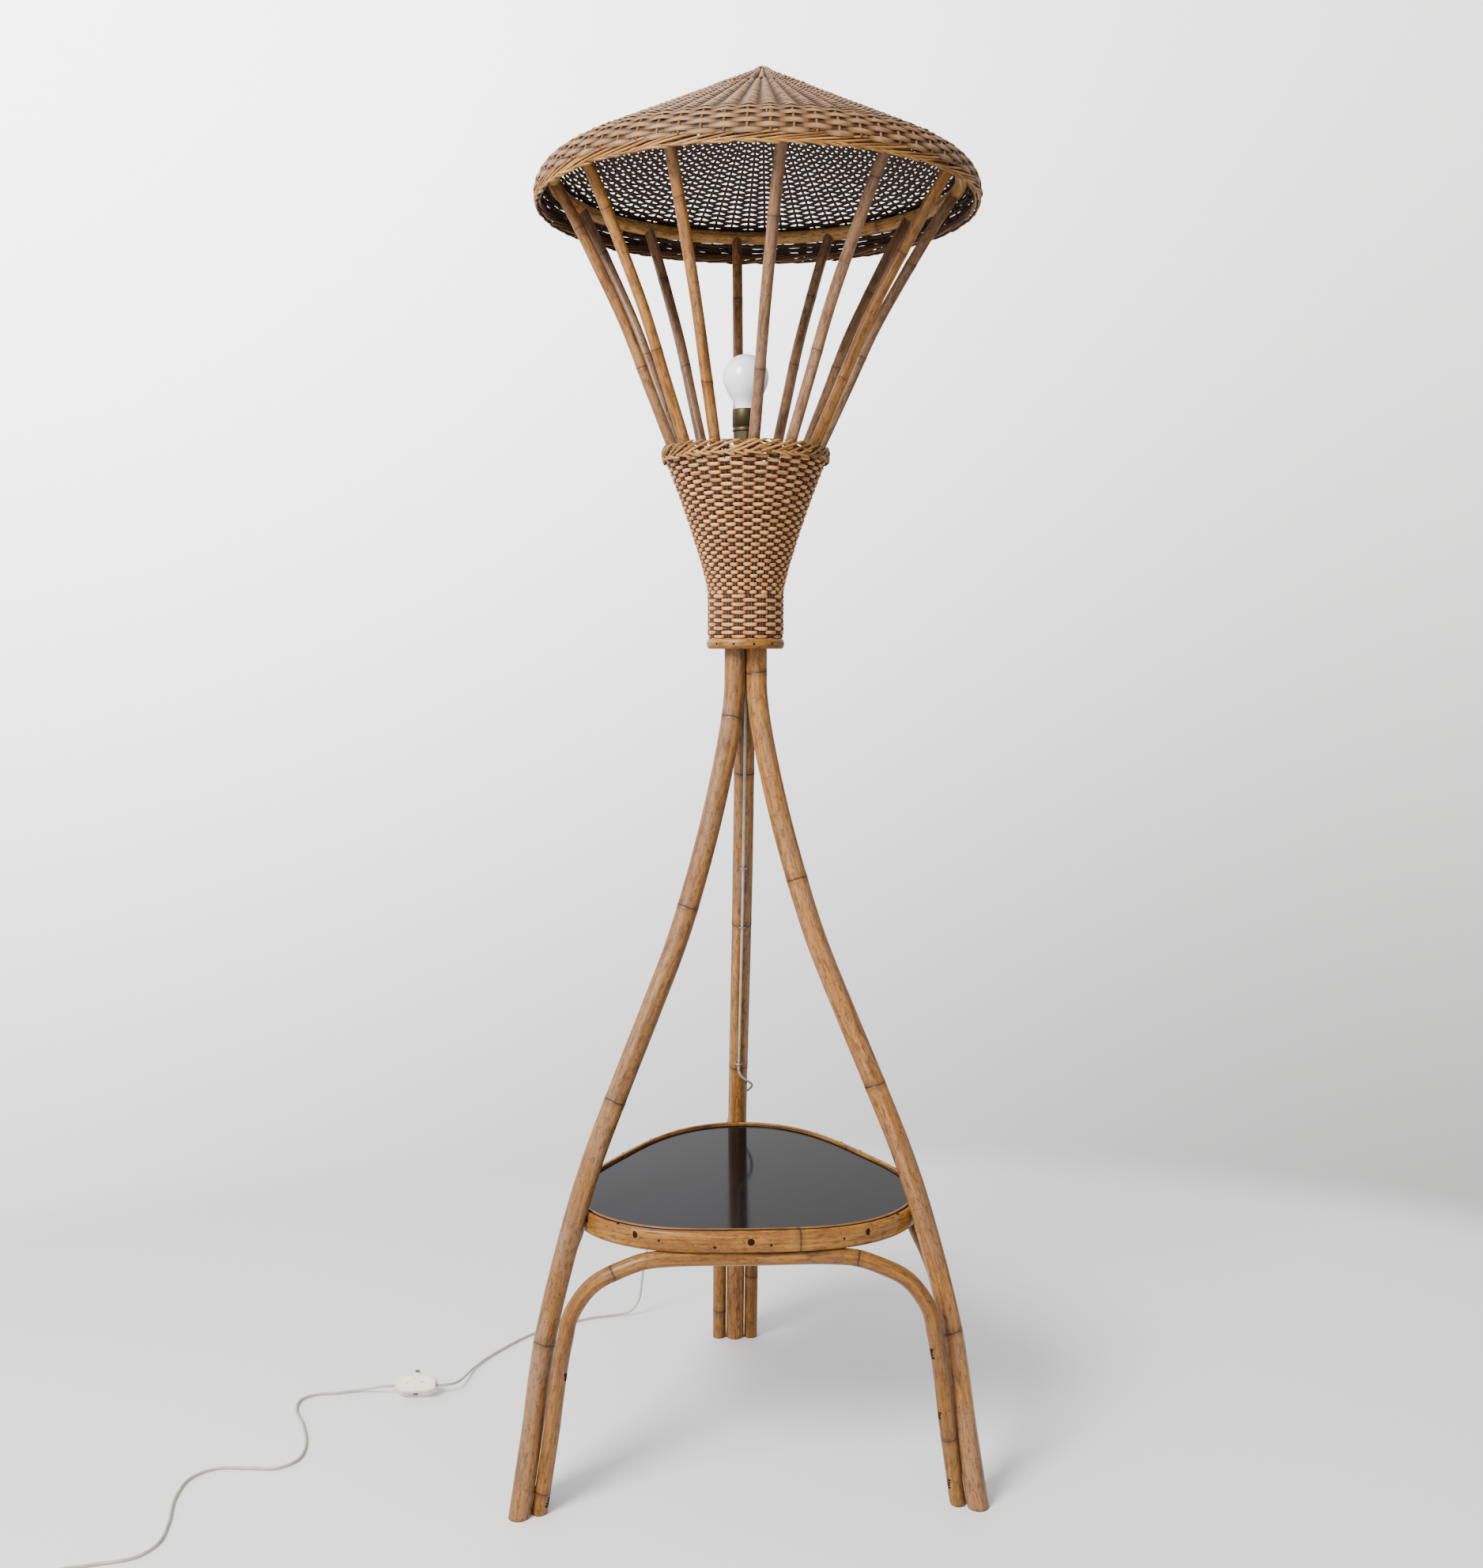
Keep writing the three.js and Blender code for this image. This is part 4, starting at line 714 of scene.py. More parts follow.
TABLE_GLASS = plain("black_glass", (0.004, 0.0035, 0.005), 0.05, spread=0.1, grain=60,
                    depth=0.000002, Specular_IOR_Level=0.055)
BOARD = plain("black_board", (0.012, 0.009, 0.007), 0.6)
BLOCK = plain("block_wood", (0.2, 0.1, 0.035), 0.5, spread=0.2)
# Dark wood of the rim's pegs and the arch's worn chips; the same colour is painted shade in two
# strips on the rim.
PEG_WOOD_AND_SHADE = plain("peg_wood_and_shade", (0.022, 0.007, 0.004), 0.8, spread=0.2, Specular_IOR_Level=0.05)
NAIL = plain("nail_heads", (0.01, 0.006, 0.004), 0.8, Specular_IOR_Level=0.1)

for name, piece in leads.items():
    place(piece, CREAM, "cream_cord", nodes=cords[name][1])

# The three poles and the arches


def ring_places(line, heights):
    """Lengths along a falling line where it passes the given heights."""
    run = lengths(line)
    return [float(np.interp(-h, -line[:, 2], run)) for h in heights]


LEG_RINGS = {"back": (1180, 897, 687, 460, 205), "left": (1205, 970, 731, 497, 212),
             "right": (1195, 1027, 765, 514, 217)}


def make_poles():
    nodes = ("leg_back", "leg_front_left", "leg_front_right")
    finishes = (POLE_CANE, GREY_CANE, POLE_CANE)
    for i, (name, heights) in enumerate(LEG_RINGS.items()):
        line = turned(LEG_LINE, LEG_ANGLES[i])
        side = (-math.sin(LEG_ANGLES[i]), math.cos(LEG_ANGLES[i]), 0)
        piece = tube(f"pole_{name}", line, LEG / 2 - POLE_THINNER, 32, side, floor="cut",
                     rings=ring_places(line, heights), start=3000 * i, wander=0.004)
        place(piece, finishes[i], "pole_cane", nodes=[nodes[i]])


C30 = math.cos(math.radians(30))
ARCH_GAP = (LEG + ARCH) / 2 + FIT
SIDE_ARCH_GAP = ARCH_GAP + 0.35
SIDE_ARCH_TURNS = (math.radians(32), math.radians(60))
CROWN_BACK, FEET_BACK = 15, 8
CROWN_FRONT = SIDE_RADIUS - CROWN_BACK
CROWN_HEIGHT = TABLE_HEIGHT - RIM_HEIGHT - FIT - ARCH / 2
ARCH_SIDES = (0, 0.17, 0.334, 0.47, 0.607, 0.7, 0.775)


def front_arch_end():
    """Places up one end of the front arch: along the line between the feet, outwards from the
    lamp's middle, and the height. It keeps beside the leg, bends over, and leans in one plane."""
    foot_front = FOOT_REACH / 2 - FEET_BACK
    half = [(leg_at(CROWN_HEIGHT * rise)[0][0] * C30 - ARCH_GAP, rise) for rise in ARCH_SIDES]
    last = half[-1][0]
    half += [(last * out, rise) for out, rise in (
        (0.925, 0.862), (0.845, 0.915), (0.72, 0.958), (0.587, 0.99), (0.436, 1))]
    return [(out, between(foot_front, CROWN_FRONT, rise), CROWN_HEIGHT * rise)
            for out, rise in half]


def side_arch_end(turn):
    """Places up one end of a side arch, which stands beside its pole at this turn outwards,
    keeps its place there, and comes outwards in the bend."""
    half = []
    for rise in ARCH_SIDES:
        pole = leg_at(CROWN_HEIGHT * rise)[0][0]
        half.append((pole * C30 - SIDE_ARCH_GAP * math.cos(turn),
                     pole / 2 + SIDE_ARCH_GAP * math.sin(turn), CROWN_HEIGHT * rise))
    last, front = half[-1][:2]
    half += [(last * out, between(front, CROWN_FRONT, move), CROWN_HEIGHT * rise)
             for out, rise, move in ((0.925, 0.845, 0), (0.845, 0.9, 0.08), (0.72, 0.95, 0.3),
                                     (0.587, 0.984, 0.7), (0.436, 0.998, 1))]
    return half


def arch_outline(left, right):
    """An arch's centre line before it is turned to its side, from its left end over its crown
    to its right end."""
    points = [(-out, -front, height) for out, front, height in left]
    points.append((0, -CROWN_FRONT, CROWN_HEIGHT))
    return np.array(points + [(out, -front, height) for out, front, height in right[::-1]])


def make_arches():
    front = front_arch_end()
    beside_front, beside_back = (side_arch_end(turn) for turn in SIDE_ARCH_TURNS)
    ends = {"front": (front, front, (30, 340, 637, 925)),
            "right": (beside_front, beside_back, (180, 470, 700, 922)),
            "left": (beside_back, beside_front, (48, 330, 560, 860))}
    for i, (name, (left, right, places)) in enumerate(ends.items()):
        angle = i * TAU / 3
        line = turned(spline(arch_outline(left, right), 900), angle)
        piece = tube(f"arch_{name}_bent", line, ARCH / 2, 26, turned((0.0, 1.0, 0.0), angle),
                     rings=places, floor="lifted", start=1300 * i + 9000, wander=0.006)
        place(piece, ARCH_CANE, "arch_cane", nodes=[f"arch_{name}"])


make_poles()
make_arches()

# The collar's rods and the hoop


def collar_radius(height):
    """The collar's outside: neck + (mouth - neck) t^1.2 at a share t of the flare's height."""
    rise = np.clip((np.asarray(height, float) - COLLAR_NECK) / (COLLAR_MOUTH - COLLAR_NECK), 0, 9)
    return NECK_RADIUS + (MOUTH_RADIUS - NECK_RADIUS) * rise**1.2


HOOP_SEAT = SHOULDER - SHADE_THICKNESS - FIT - HOOP / 2 / math.cos(math.pi / 8)
HOOP_SIDE = math.radians(55)
SHOULDER_CENTRE = SHADE_RADIUS - SHOULDER
HOOP_RADIUS = SHOULDER_CENTRE + HOOP_SEAT * math.cos(HOOP_SIDE)
HOOP_HEIGHT = SHOULDER_HEIGHT + HOOP_SEAT * math.sin(HOOP_SIDE)
RODS = 12
RODS_TURN = math.radians(3.5)
ROD_PLAY = 0.7


def rod_places():
    """A rod's way out from the axis, its height and its share of the crown's shift."""
    out = NECK_RADIUS - WEAVE - FIT - ROD_FOOT / 2
    places = [(out, COLLAR_BOTTOM + 5, 0), (out, COLLAR_NECK, 0)]
    for share in (0.06, 0.15, 0.3, 0.6, 1):
        height = between(COLLAR_NECK, COLLAR_MOUTH, share)
        slope = float(collar_radius(height + 1) - collar_radius(height - 1)) / 2
        lean = math.sqrt(1 + slope * slope)
        reach = between(ROD_FOOT, ROD, share) / 2 + ROD_PLAY
        places.append((float(collar_radius(height)) - WEAVE - reach * lean, height, 0))
    mouth = places[-1][0]
    for out, rise in ((0.112, 0.13), (0.225, 0.26), (0.42, 0.485), (0.65, 0.703), (0.838, 0.87),
                      (0.92, 0.936), (1, 1)):
        places.append((between(mouth, HOOP_RADIUS, out),
                       between(COLLAR_MOUTH, HOOP_HEIGHT, rise), out))
    return np.array(places)


ROD_FINISHES = {
    **dict.fromkeys((1, 3, 6, 10, 11), PINK_ROD_CANE), **dict.fromkeys((2, 5), DARK_ROD_CANE),
    **dict.fromkeys((4, 7), BROWN_ROD_CANE)}


def make_rods():
    out, height, shift = rod_places().T
    for i in range(RODS):
        angle = RODS_TURN + TAU * i / RODS
        line = spline(round_axis(out, height, angle, CROWN_SHIFT * shift), 300)
        rings = [330 + 60 * rand(1)[0], 520 + 50 * rand(1)[0]]
        run = lengths(line)
        thick = np.interp(line[:, 2], [COLLAR_NECK, COLLAR_MOUTH], [ROD_FOOT / ROD, 1])
        piece = tube(f"rod_{i + 1:02d}_bent", line, ROD / 2, 18,
                     (-math.sin(angle), math.cos(angle), 0), step=6, rings=rings,
                     start=700 * i + 20000, swell=0.05, groove=0.2, taper=(run / run[-1], thick))
        finish = ROD_FINISHES.get(i + 1, ROD_CANE)
        place(piece, finish, "rod_cane", nodes=[f"rod_{i + 1:02d}"])


def angles_round(count):
    """Angles that share out the full turn."""
    return np.arange(count) / count * TAU


def make_hoop():
    line = round_axis(HOOP_RADIUS, HOOP_HEIGHT, angles_round(360), CROWN_SHIFT)
    piece = tube("hoop_bent", line, HOOP / 2, 20, (0, 0, 1), step=5, rings=(200, 620, 1010, 1390),
                 closed=True, start=40000)
    place(piece, LIT_HOOP_CANE, "pole_cane", nodes=["hoop"])


make_rods()
make_hoop()

# Weaving: rows of flat strands that pass outside one stake and inside the next


def section_of(radius, height):
    """A turned surface's section: lengths along it, radii and heights."""
    return lengths(grid(radius, height)), radius, height


def surface(section, at):
    """Radius, height and the outward direction of a turned surface at lengths along it."""
    run, radius, height = section
    r, z = np.interp(at, run, radius), np.interp(at, run, height)
    dr, dz = (np.interp(at, run, np.gradient(v, run)) for v in (radius, height))
    size = np.hypot(dr, dz)
    return r, z, dz / size, -dr / size


def rows_of_weave(name, section, at, stakes, samples, reach, half, thick, shift=0.0, first=0,
                  phase=0.0, hold=0.0, ridge=0.0):
    """Rings of woven strand on a turned surface. At angle a of row i, c = cos(N a / 2 + i pi) for
    N stakes, and u is c + hold scaled back to -1 to 1. The strand lies reach sign(u) |u|^0.4 off
    the surface, which itself swells by ridge cos(N a), and narrows where u is small. Its tone
    darkens by ridge (1 - cos(N a)) / 3 in the furrows, a painted shade."""
    r, z, nr, nz = (value[:, None] for value in surface(section, at))
    rows, a = len(at), angles_round(stakes * samples)[None, :]
    i = np.arange(rows)[:, None] + first
    u = np.cos(stakes / 2 * (a - phase) + math.pi * i) + hold
    u = np.where(u > 0, u / (1 + hold), u / (1 - hold))
    over = np.sign(u) * np.abs(u) ** 0.4

    def loose():
        return np.repeat(rand(rows, stakes), samples, 1)

    off = reach * over * (1 + 0.16 * loose())
    wave = sum(rand(rows, 1) * np.sin(k * a + 3 * rand(rows, 1)) for k in (3, 7, 13)) * 0.2
    wave = wave + 0.22 * loose() * np.abs(u)
    rib = np.cos(stakes * (a - phase))
    off = off + ridge * rib
    lines = round_axis(r + nr * off - nz * wave, z + nz * off + nr * wave, a, shift)
    wide = half * (0.86 + 0.14 * np.abs(u) ** 0.35) * (1 + 0.07 * loose())
    return bundle(name, lines, round_axis(nr, nz, a), thick, wide, 6, True,
                  over - ridge * (1 - rib) / 3, first)


def stakes_of_weave(name, section, angles_at, thick, step, sides=6, shift_at=None):
    """Stakes that follow a turned surface from foot to top: angles_at gives the angle of each
    stake at each length along the surface, one row for each stake."""
    at = np.arange(section[0][0], section[0][-1] + step / 2, step)
    r, z, nr, nz = surface(section, at)
    a = angles_at(at)
    lines = round_axis(r, z, a, shift_at(at) if shift_at else 0)
    return bundle(name, lines, round_axis(nr, nz, a), thick, thick, sides, over=0.1)


def paired(count, apart, single):
    """Angles of stakes that are shared out round the turn where single is 1, and in pairs that
    stand apart by an angle where it is 0."""
    number = np.arange(count)[:, None]
    middle = (number // 2 * 2 + 0.5) * TAU / count
    return between(middle + (number % 2 - 0.5) * apart, number * TAU / count, single)


# The stakes, the rows' distances along the surface, where the shoulder's rows end, and the
# heights (of the shade, radii) between which pairs of stakes part and the rows follow them. A
# strand is half its width and half its thickness. Above the foot ring the rows stand out.
COLLAR_STAKES, COLLAR_ROW = 40, 5.0
COLLAR_STRAND = (2.62, 1.25)
RING_CLEAR, CLEAR_OVER, ROWS_OUT = 11.5, 5, 2.3
PAIRS_TO, NECK_ROWS_TO, SINGLE_FROM = 1114, 1126, 1138
SHADE_STAKES = 68
SHOULDER_ROW, CONE_ROW = 5.9, 4.75
SHOULDER_END = 43
SHOULDER_STRAND, CONE_STRAND = (3.45, 0.95), (2.4, 0.95)
SHADE_PAIRS_TO, UPPER_ROWS_TO, SHADE_SINGLE_FROM = 66, 78, 90


def make_collar():
    height = np.linspace(COLLAR_BOTTOM + 1.5, COLLAR_MOUTH + 2, 400)
    out = ROWS_OUT * np.clip((height - COLLAR_BOTTOM - RING_CLEAR) / CLEAR_OVER, 0, 1)
    section = section_of(collar_radius(height) - WEAVE / 2 + out, height)
    run = section[0]
    rows = np.arange(3.0, run[-1] - 0.5, COLLAR_ROW)
    neck = int(np.sum(np.interp(rows, run, height) < NECK_ROWS_TO))
    parts = [
        rows_of_weave("neck", section, rows[:neck], COLLAR_STAKES // 2, 14, 1.5, *COLLAR_STRAND,
                      phase=0.5 * TAU / COLLAR_STAKES, hold=0.22),
        rows_of_weave("flare", section, rows[neck:], COLLAR_STAKES, 8, 1.6, *COLLAR_STRAND,
                      first=neck, hold=0.1),
    ]
    place(joined("collar_rows", parts), WEAVE_CANE, "woven_cane", nodes=["collar_weave"])

    def angles(at):
        rise = np.interp(at, run, height)[None, :]
        return paired(COLLAR_STAKES, 3.1 / NECK_RADIUS,
                      eased((rise - PAIRS_TO) / (SINGLE_FROM - PAIRS_TO)))

    stakes = stakes_of_weave("collar_stakes", section, angles, 1.4, 5)
    # The stakes take the darker copy of the cane, which is painted shade.
    place(stakes, SHADED_STAKE_CANE, "woven_cane")


def shade_line(inset):
    """The shade's section from its border to its peak: an arc at the shoulder and a cone."""
    reach = SHOULDER - inset
    angle = np.linspace(math.asin(2.2 / reach), math.pi / 2 - SLOPE, 60)
    radius = SHOULDER_CENTRE + reach * np.cos(angle)
    height = SHOULDER_HEIGHT + reach * np.sin(angle)
    far = np.linspace(0, 1, 300)[1:]
    cone_z = height[-1] + radius[-1] * far * math.tan(SLOPE)
    return np.concatenate([radius, radius[-1] * (1 - far)]), np.concatenate([height, cone_z])


def make_shade():
    section = section_of(*shade_line(SHADE_THICKNESS / 2))
    run, radius, _ = section
    rows = np.concatenate([np.arange(0.6, SHOULDER_END, SHOULDER_ROW),
                           np.arange(SHOULDER_END + 4.3, run[-1] - 13, CONE_ROW)])
    edge = int(np.sum(rows < SHOULDER_END))
    wide = int(np.sum(np.interp(rows, run, radius) > UPPER_ROWS_TO))

    def middle(at):
        rise = np.clip((at - SHOULDER_END) / (run[-1] - SHOULDER_END), 0, 1)
        return CROWN_SHIFT + TIP_LEAN * rise

    def rows_between(name, part, stakes, samples, reach, strand, finish, nodes=(), **more):
        at = rows[part]
        piece = rows_of_weave(name, section, at, stakes, samples, reach, *strand,
                              middle(at)[:, None], part.start, **more)
        place(piece, finish, "woven_cane", nodes=nodes)

    rows_between("shade_rows_shoulder", slice(0, edge), SHADE_STAKES, 5, 1.1, SHOULDER_STRAND,
                 SHOULDER_CANE, hold=0.45, ridge=0.5)
    rows_between("shade_rows", slice(edge, wide), SHADE_STAKES, 5, 1.7, CONE_STRAND, SHADE_CANE,
                 ["shade_weave"], hold=0.35, ridge=1.2)
    rows_between("shade_rows_upper", slice(wide, None), SHADE_STAKES // 2, 8, 1.7, CONE_STRAND,
                 SHADE_CANE, phase=0.5 * TAU / SHADE_STAKES, hold=0.4, ridge=2.0)

    def angles(at):
        r = np.maximum(np.interp(at, run, radius), 6)[None, :]
        single = (r - SHADE_PAIRS_TO) / (SHADE_SINGLE_FROM - SHADE_PAIRS_TO)
        return paired(SHADE_STAKES, np.minimum(3.0 / r, TAU / SHADE_STAKES * 0.9), eased(single))

    below_knot = run < run[-1] - 7
    stakes = stakes_of_weave("shade_stakes", [value[below_knot] for value in section], angles,
                             1.9, 6, 5, middle)
    place(stakes, STAKE_CANE, "woven_cane")


make_collar()
make_shade()


def rolled_border(name, count, shift, radius, low, tall, span, deep, wide, bulge, phase, lean,
                  first):
    """A rolled border: each of K strands comes out from behind at its own angle, and climbs along
    the edge over span of its neighbours: radius R + bulge sin(pi t)^0.6, height low + tall s(t)
    with s between t and its smooth step, for t from 0 to 1."""
    t = np.linspace(0, 1, 26)[None, :]
    k = np.arange(count)[:, None]
    loose = 1 + 0.1 * rand(count, 1)
    a = phase + (k + 0.2 * rand(count, 1) + lean * span * loose * (t - 0.5)) * TAU / count
    hump = np.sin(math.pi * t) ** 0.6
    r = radius + bulge * (hump - 0.55) + 0.35 * rand(count, 1)
    z = low + tall * between(t, eased(t), 0.6) + 0.5 * rand(count, 1)
    z = z + 0.4 * np.sin(9 * t + 6 * rand(count, 1))
    thin = np.clip(np.sin(math.pi * t) * 3, 0.15, 1) * (1 + 0.12 * rand(count, 1))
    return bundle(name, round_axis(r, z, a, shift), round_axis(1, 0, a), deep * thin, wide * thin,
                  7, over=0.9 * hump, first=first)


# The strands of each border: name, radius, lowest place, climb, span, half sizes, bulge, turn,
# the way they lean and their first number
SHADE_EDGE = SHOULDER_HEIGHT + 4
SHADE_BORDER = (
    ("edge", SHADE_RADIUS - 4, SHADE_EDGE - 12.5, 14.2, 4.6, 1.25, 1.3, 2.8, 0, 1, 0),
    ("low", SHADE_RADIUS - 5, SHADE_EDGE - 13, 4, 2.2, 1.4, 1.5, 2.6, 0.03, -1, 70),
    ("in", SHADE_RADIUS - 8, SHADE_EDGE - 2, -9, 4, 1.5, 1.75, -2, 0.05, 1, 140))
COLLAR_BORDER = (
    ("edge", MOUTH_RADIUS + 3.2, COLLAR_MOUTH - 8, 17.5, 3.2, 1.5, 1.7, 2.6, 0, 1, 210),
    ("low", MOUTH_RADIUS + 3, COLLAR_MOUTH - 9, 5, 1.8, 1.4, 1.6, 2.4, 0.04, -1, 260),
    ("in", MOUTH_RADIUS - 1.5, COLLAR_MOUTH + 9.5, -12, 3, 1.4, 1.6, -1.4, 0.02, 1, 310))


def make_borders():
    for name, node, strands, shift, parts in (
            ("shade_braid", "shade_border", SHADE_STAKES, CROWN_SHIFT, SHADE_BORDER),
            ("collar_braid", "collar_border", COLLAR_STAKES, 0, COLLAR_BORDER)):
        parts = [rolled_border(name + part, strands, shift, *sizes) for part, *sizes in parts]
        place(joined(name, parts), BRAID_CANE, "braided_cane", nodes=[node])


make_borders()


def turned_body(name, profile, sides=64):
    """A turned body from a profile of radius and height, given from its foot up its outside."""
    profile = np.asarray(profile, float)
    return skin(name, round_axis(profile[:, :1], profile[:, 1:], angles_round(sides)))


def arc(centre_r, centre_z, radius, start, stop, count=6):
    """Points of an arc in a section, from one angle to another in degrees."""
    a = np.radians(np.linspace(start, stop, count))
    return [(centre_r + radius * math.cos(t), centre_z + radius * math.sin(t)) for t in a]


KNOT_STRANDS, KNOT_SPAN, KNOT_DROP = 26, 15.5, 8.5


def make_knot():
    """The knot on the peak: strands that cross over it, each at its own angle, with height
    top - 8.5 (|x| / 15.5)^1.8 at a way x from its middle, each a little over the one before."""
    top = shade_line(0)[1][-1] - 1.1
    t = np.linspace(0, 1, 20)[None, :]
    number = np.arange(KNOT_STRANDS)[:, None]
    a = number * 2.4 + 0.5 * rand(KNOT_STRANDS, 1)
    span = KNOT_SPAN * (1 - 0.3 * np.abs(rand(KNOT_STRANDS, 1)))
    x, y = span * (2 * t - 1), 2.6 * rand(KNOT_STRANDS, 1)
    z = top + 1.8 * number / KNOT_STRANDS - KNOT_DROP * (np.abs(x) / KNOT_SPAN) ** 1.8
    lines = grid(x * np.cos(a) - y * np.sin(a) + CROWN_SHIFT + TIP_LEAN,
                 x * np.sin(a) + y * np.cos(a), z)
    knot = bundle("shade_knot_strands", lines, np.broadcast_to((0.0, 0.0, 1.0), lines.shape),
                  1.3, 1.5, over=0.6)
    place(knot, SHADE_CANE, "woven_cane", nodes=["shade_knot"])


def bent_ring(name, a, radius, section, measure, ring):
    """A closed ring: at each angle its section, given as way out and height, stands off the
    radius there. The grain runs along it by angle times measure."""
    points = round_axis(np.reshape(radius, (-1, 1)) + section[:, 0], section[:, 1], a[:, None])
    grain = grid(a[:, None] * measure, section[:, 0], section[:, 1]) * MM
    ring = np.broadcast_to(np.reshape(ring, (-1, 1)), grain.shape[:2])
    return skin(name, points, closed=True, grain=grain, ring=ring)


FOOT_RING = 3.2


def make_foot_ring():
    """The split cane round the collar's foot: half an oval."""
    inner, middle = NECK_RADIUS + FIT, COLLAR_BOTTOM + 5
    half = arc(inner, 0, FOOT_RING, 90, -90, 9)
    section = np.array([(r, middle + 2 * z) for r, z in half])
    ring = bent_ring("collar_foot_ring", angles_round(120), 0, section, inner + FOOT_RING,
                     RING_REACH * MM)
    place(ring, RIM_CANE, "rim_cane", nodes=["collar_base_ring"])


make_knot()
make_foot_ring()

# The table: rim, glass and board


def table_radius(angle):
    """The table's soft three-cornered outline: R + bulge cos(3 (a - 90 degrees))."""
    return TABLE_RADIUS + CORNER_BULGE * np.cos(3 * (angle - LEG_ANGLES[0]))


RIM_JOINT = math.radians(286.9)
AROUND_JOINT = np.array([-3, -1.6, -0.8, -0.35, 0, 0.35, 0.8, 1.6, 3])


def make_table():
    """The rim's outside stands at the table's radius, less where a slow wave takes some off. Its
    section is rounded outside and planed on top; glass and board fill its inside."""
    bottom = TABLE_HEIGHT - RIM_HEIGHT
    a = angles_round(240)
    a = np.sort(np.concatenate([a[np.abs(a - RIM_JOINT) > 4 / TABLE_RADIUS],
                                RIM_JOINT + AROUND_JOINT / TABLE_RADIUS]))
    section = np.array(
        arc(-4.4, bottom + 4.4, 4.4, -90, -12) + [(-0.02, bottom + 9), (0.0, bottom + 14)]
        + [(-0.02, bottom + 19)] + arc(-4.6, TABLE_HEIGHT - 6.2, 4.6, 12, 90)
        + [(-5.6, TABLE_HEIGHT - 2.4), (-6.6, TABLE_HEIGHT - 0.5), (-7.0, TABLE_HEIGHT)]
        + arc(-9.0, TABLE_HEIGHT - 1.0, 1.0, 90, 180, 3)
        + arc(-9.0, bottom + 1.0, 1.0, 180, 270, 3))
    wave = 0.25 * np.sin(5 * a + 1) + 0.2 * np.sin(11 * a)
    joint = np.abs((a - RIM_JOINT + math.pi) % TAU - math.pi) * TABLE_RADIUS
    rim = bent_ring("table_rim_bent", a, table_radius(a) + np.minimum(wave, 0), section[::-1],
                    TABLE_RADIUS, np.minimum(joint, RING_REACH) * MM)
    place(rim, RIM_CANE, "rim_cane", nodes=["table_rim"])
    # Two dark strips on the rim are painted shade: one in the step between the planed top and the
    # rounded face, one on the inner wall just above the glass.
    for name, band in (
            ("rim_groove_painted_shade", [(-6.85, -0.8), (-6.1, -0.8), (-5.4, -2.5), (-6.2, -2.5)]),
            ("rim_inner_painted_shade", [(-10.25, -2.3), (-9.9, -2.3), (-9.8, -4), (-9.9, -4)])):
        band = np.array(band) + np.array([0, TABLE_HEIGHT])
        strip = bent_ring(name, a, table_radius(a), band, TABLE_RADIUS, RING_REACH * MM)
        place(strip, PEG_WOOD_AND_SHADE, "block_wood")
    glass_bottom = TABLE_HEIGHT - RIM_LIP - GLASS
    edge = 0.6
    back = np.array([edge, 0, 0, edge])[:, None]
    for name, low, high, material, slot, node in (
            ("table_glass_plate", glass_bottom, glass_bottom + GLASS, TABLE_GLASS, "black_glass",
             "table_glass"),
            ("table_board_plate", bottom, glass_bottom - FIT, BOARD, "black_board",
             "table_board")):
        r = table_radius(a) - RIM_THICKNESS - FIT - back
        z = np.array([low, low + edge, high - edge, high])[:, None]
        place(skin(name, round_axis(r, z, a)), material, slot, nodes=[node])


make_table()

# Bulb and lampholder

BLOCK_HEIGHT, NIPPLE_RISE = 18, 34.7
HOLDER_PARTS = (9, 4, 11, FIT, 3.6, FIT, 2.5, 25)
CAP_TOP = TRUNK_TOP + FIT + BLOCK_HEIGHT + NIPPLE_RISE + sum(HOLDER_PARTS)
COLLAR_OVER_CAP = 12.3
HOLDER_TOP = CAP_TOP + COLLAR_OVER_CAP
BULB_RADIUS, BULB_HEIGHT, BULB_NECK = 28.5, 80, 14.0
BULB_THREAD, SLEEVE_WALL, SHELL_WALL, SHELL_HEIGHT = 13.2, 0.5, 1.2, 27.5
SHELL_RADIUS = BULB_THREAD + SLEEVE_WALL + 2 * SHELL_WALL + 3 * FIT


def make_bulb():
    """The bulb's glass, a curve up its neck that runs into a ball, and the holder's shell."""
    foot = CAP_TOP + FIT
    neck = [(13.6, -2), (14.6, 4), (17.6, 10), (21.8, 16.5), (25.6, 24), (27.9, 31)]
    ball = [(BULB_RADIUS * math.cos(t), BULB_HEIGHT - BULB_RADIUS + BULB_RADIUS * math.sin(t))
            for t in np.radians((3, 20, 38, 58, 76, 88))]
    side = [(13.6, 0)] + [(r, BULB_NECK + z) for r, z in neck] + ball
    line = spline(side, 70) + np.array([0, foot])
    bulb = turned_body("bulb_frosted", [(0.01, foot), *line, (0.01, foot + BULB_HEIGHT)])
    place(bulb, BULB, "frosted_glass", body="bulb", nodes=["bulb_glass"])
    outside = [(SHELL_WALL, 0), (0.3, 0), (0, 0.4), (0, 2.2), (0.8, 2.9), (0.8, 5.2), (0, 6),
               (0, SHELL_HEIGHT - 1.4), (0.3, SHELL_HEIGHT - 0.4), (0.9, SHELL_HEIGHT),
               (SHELL_WALL, SHELL_HEIGHT - 0.6), (SHELL_WALL, 0.2)]
    shell = turned_body("holder_shell_turned", [
        (SHELL_RADIUS - inset, HOLDER_TOP - SHELL_HEIGHT + rise) for inset, rise in outside])
    place(shell, BRASS, "aged_brass", nodes=["holder_shell"])


make_bulb()

# Small fasteners: pegs and nails


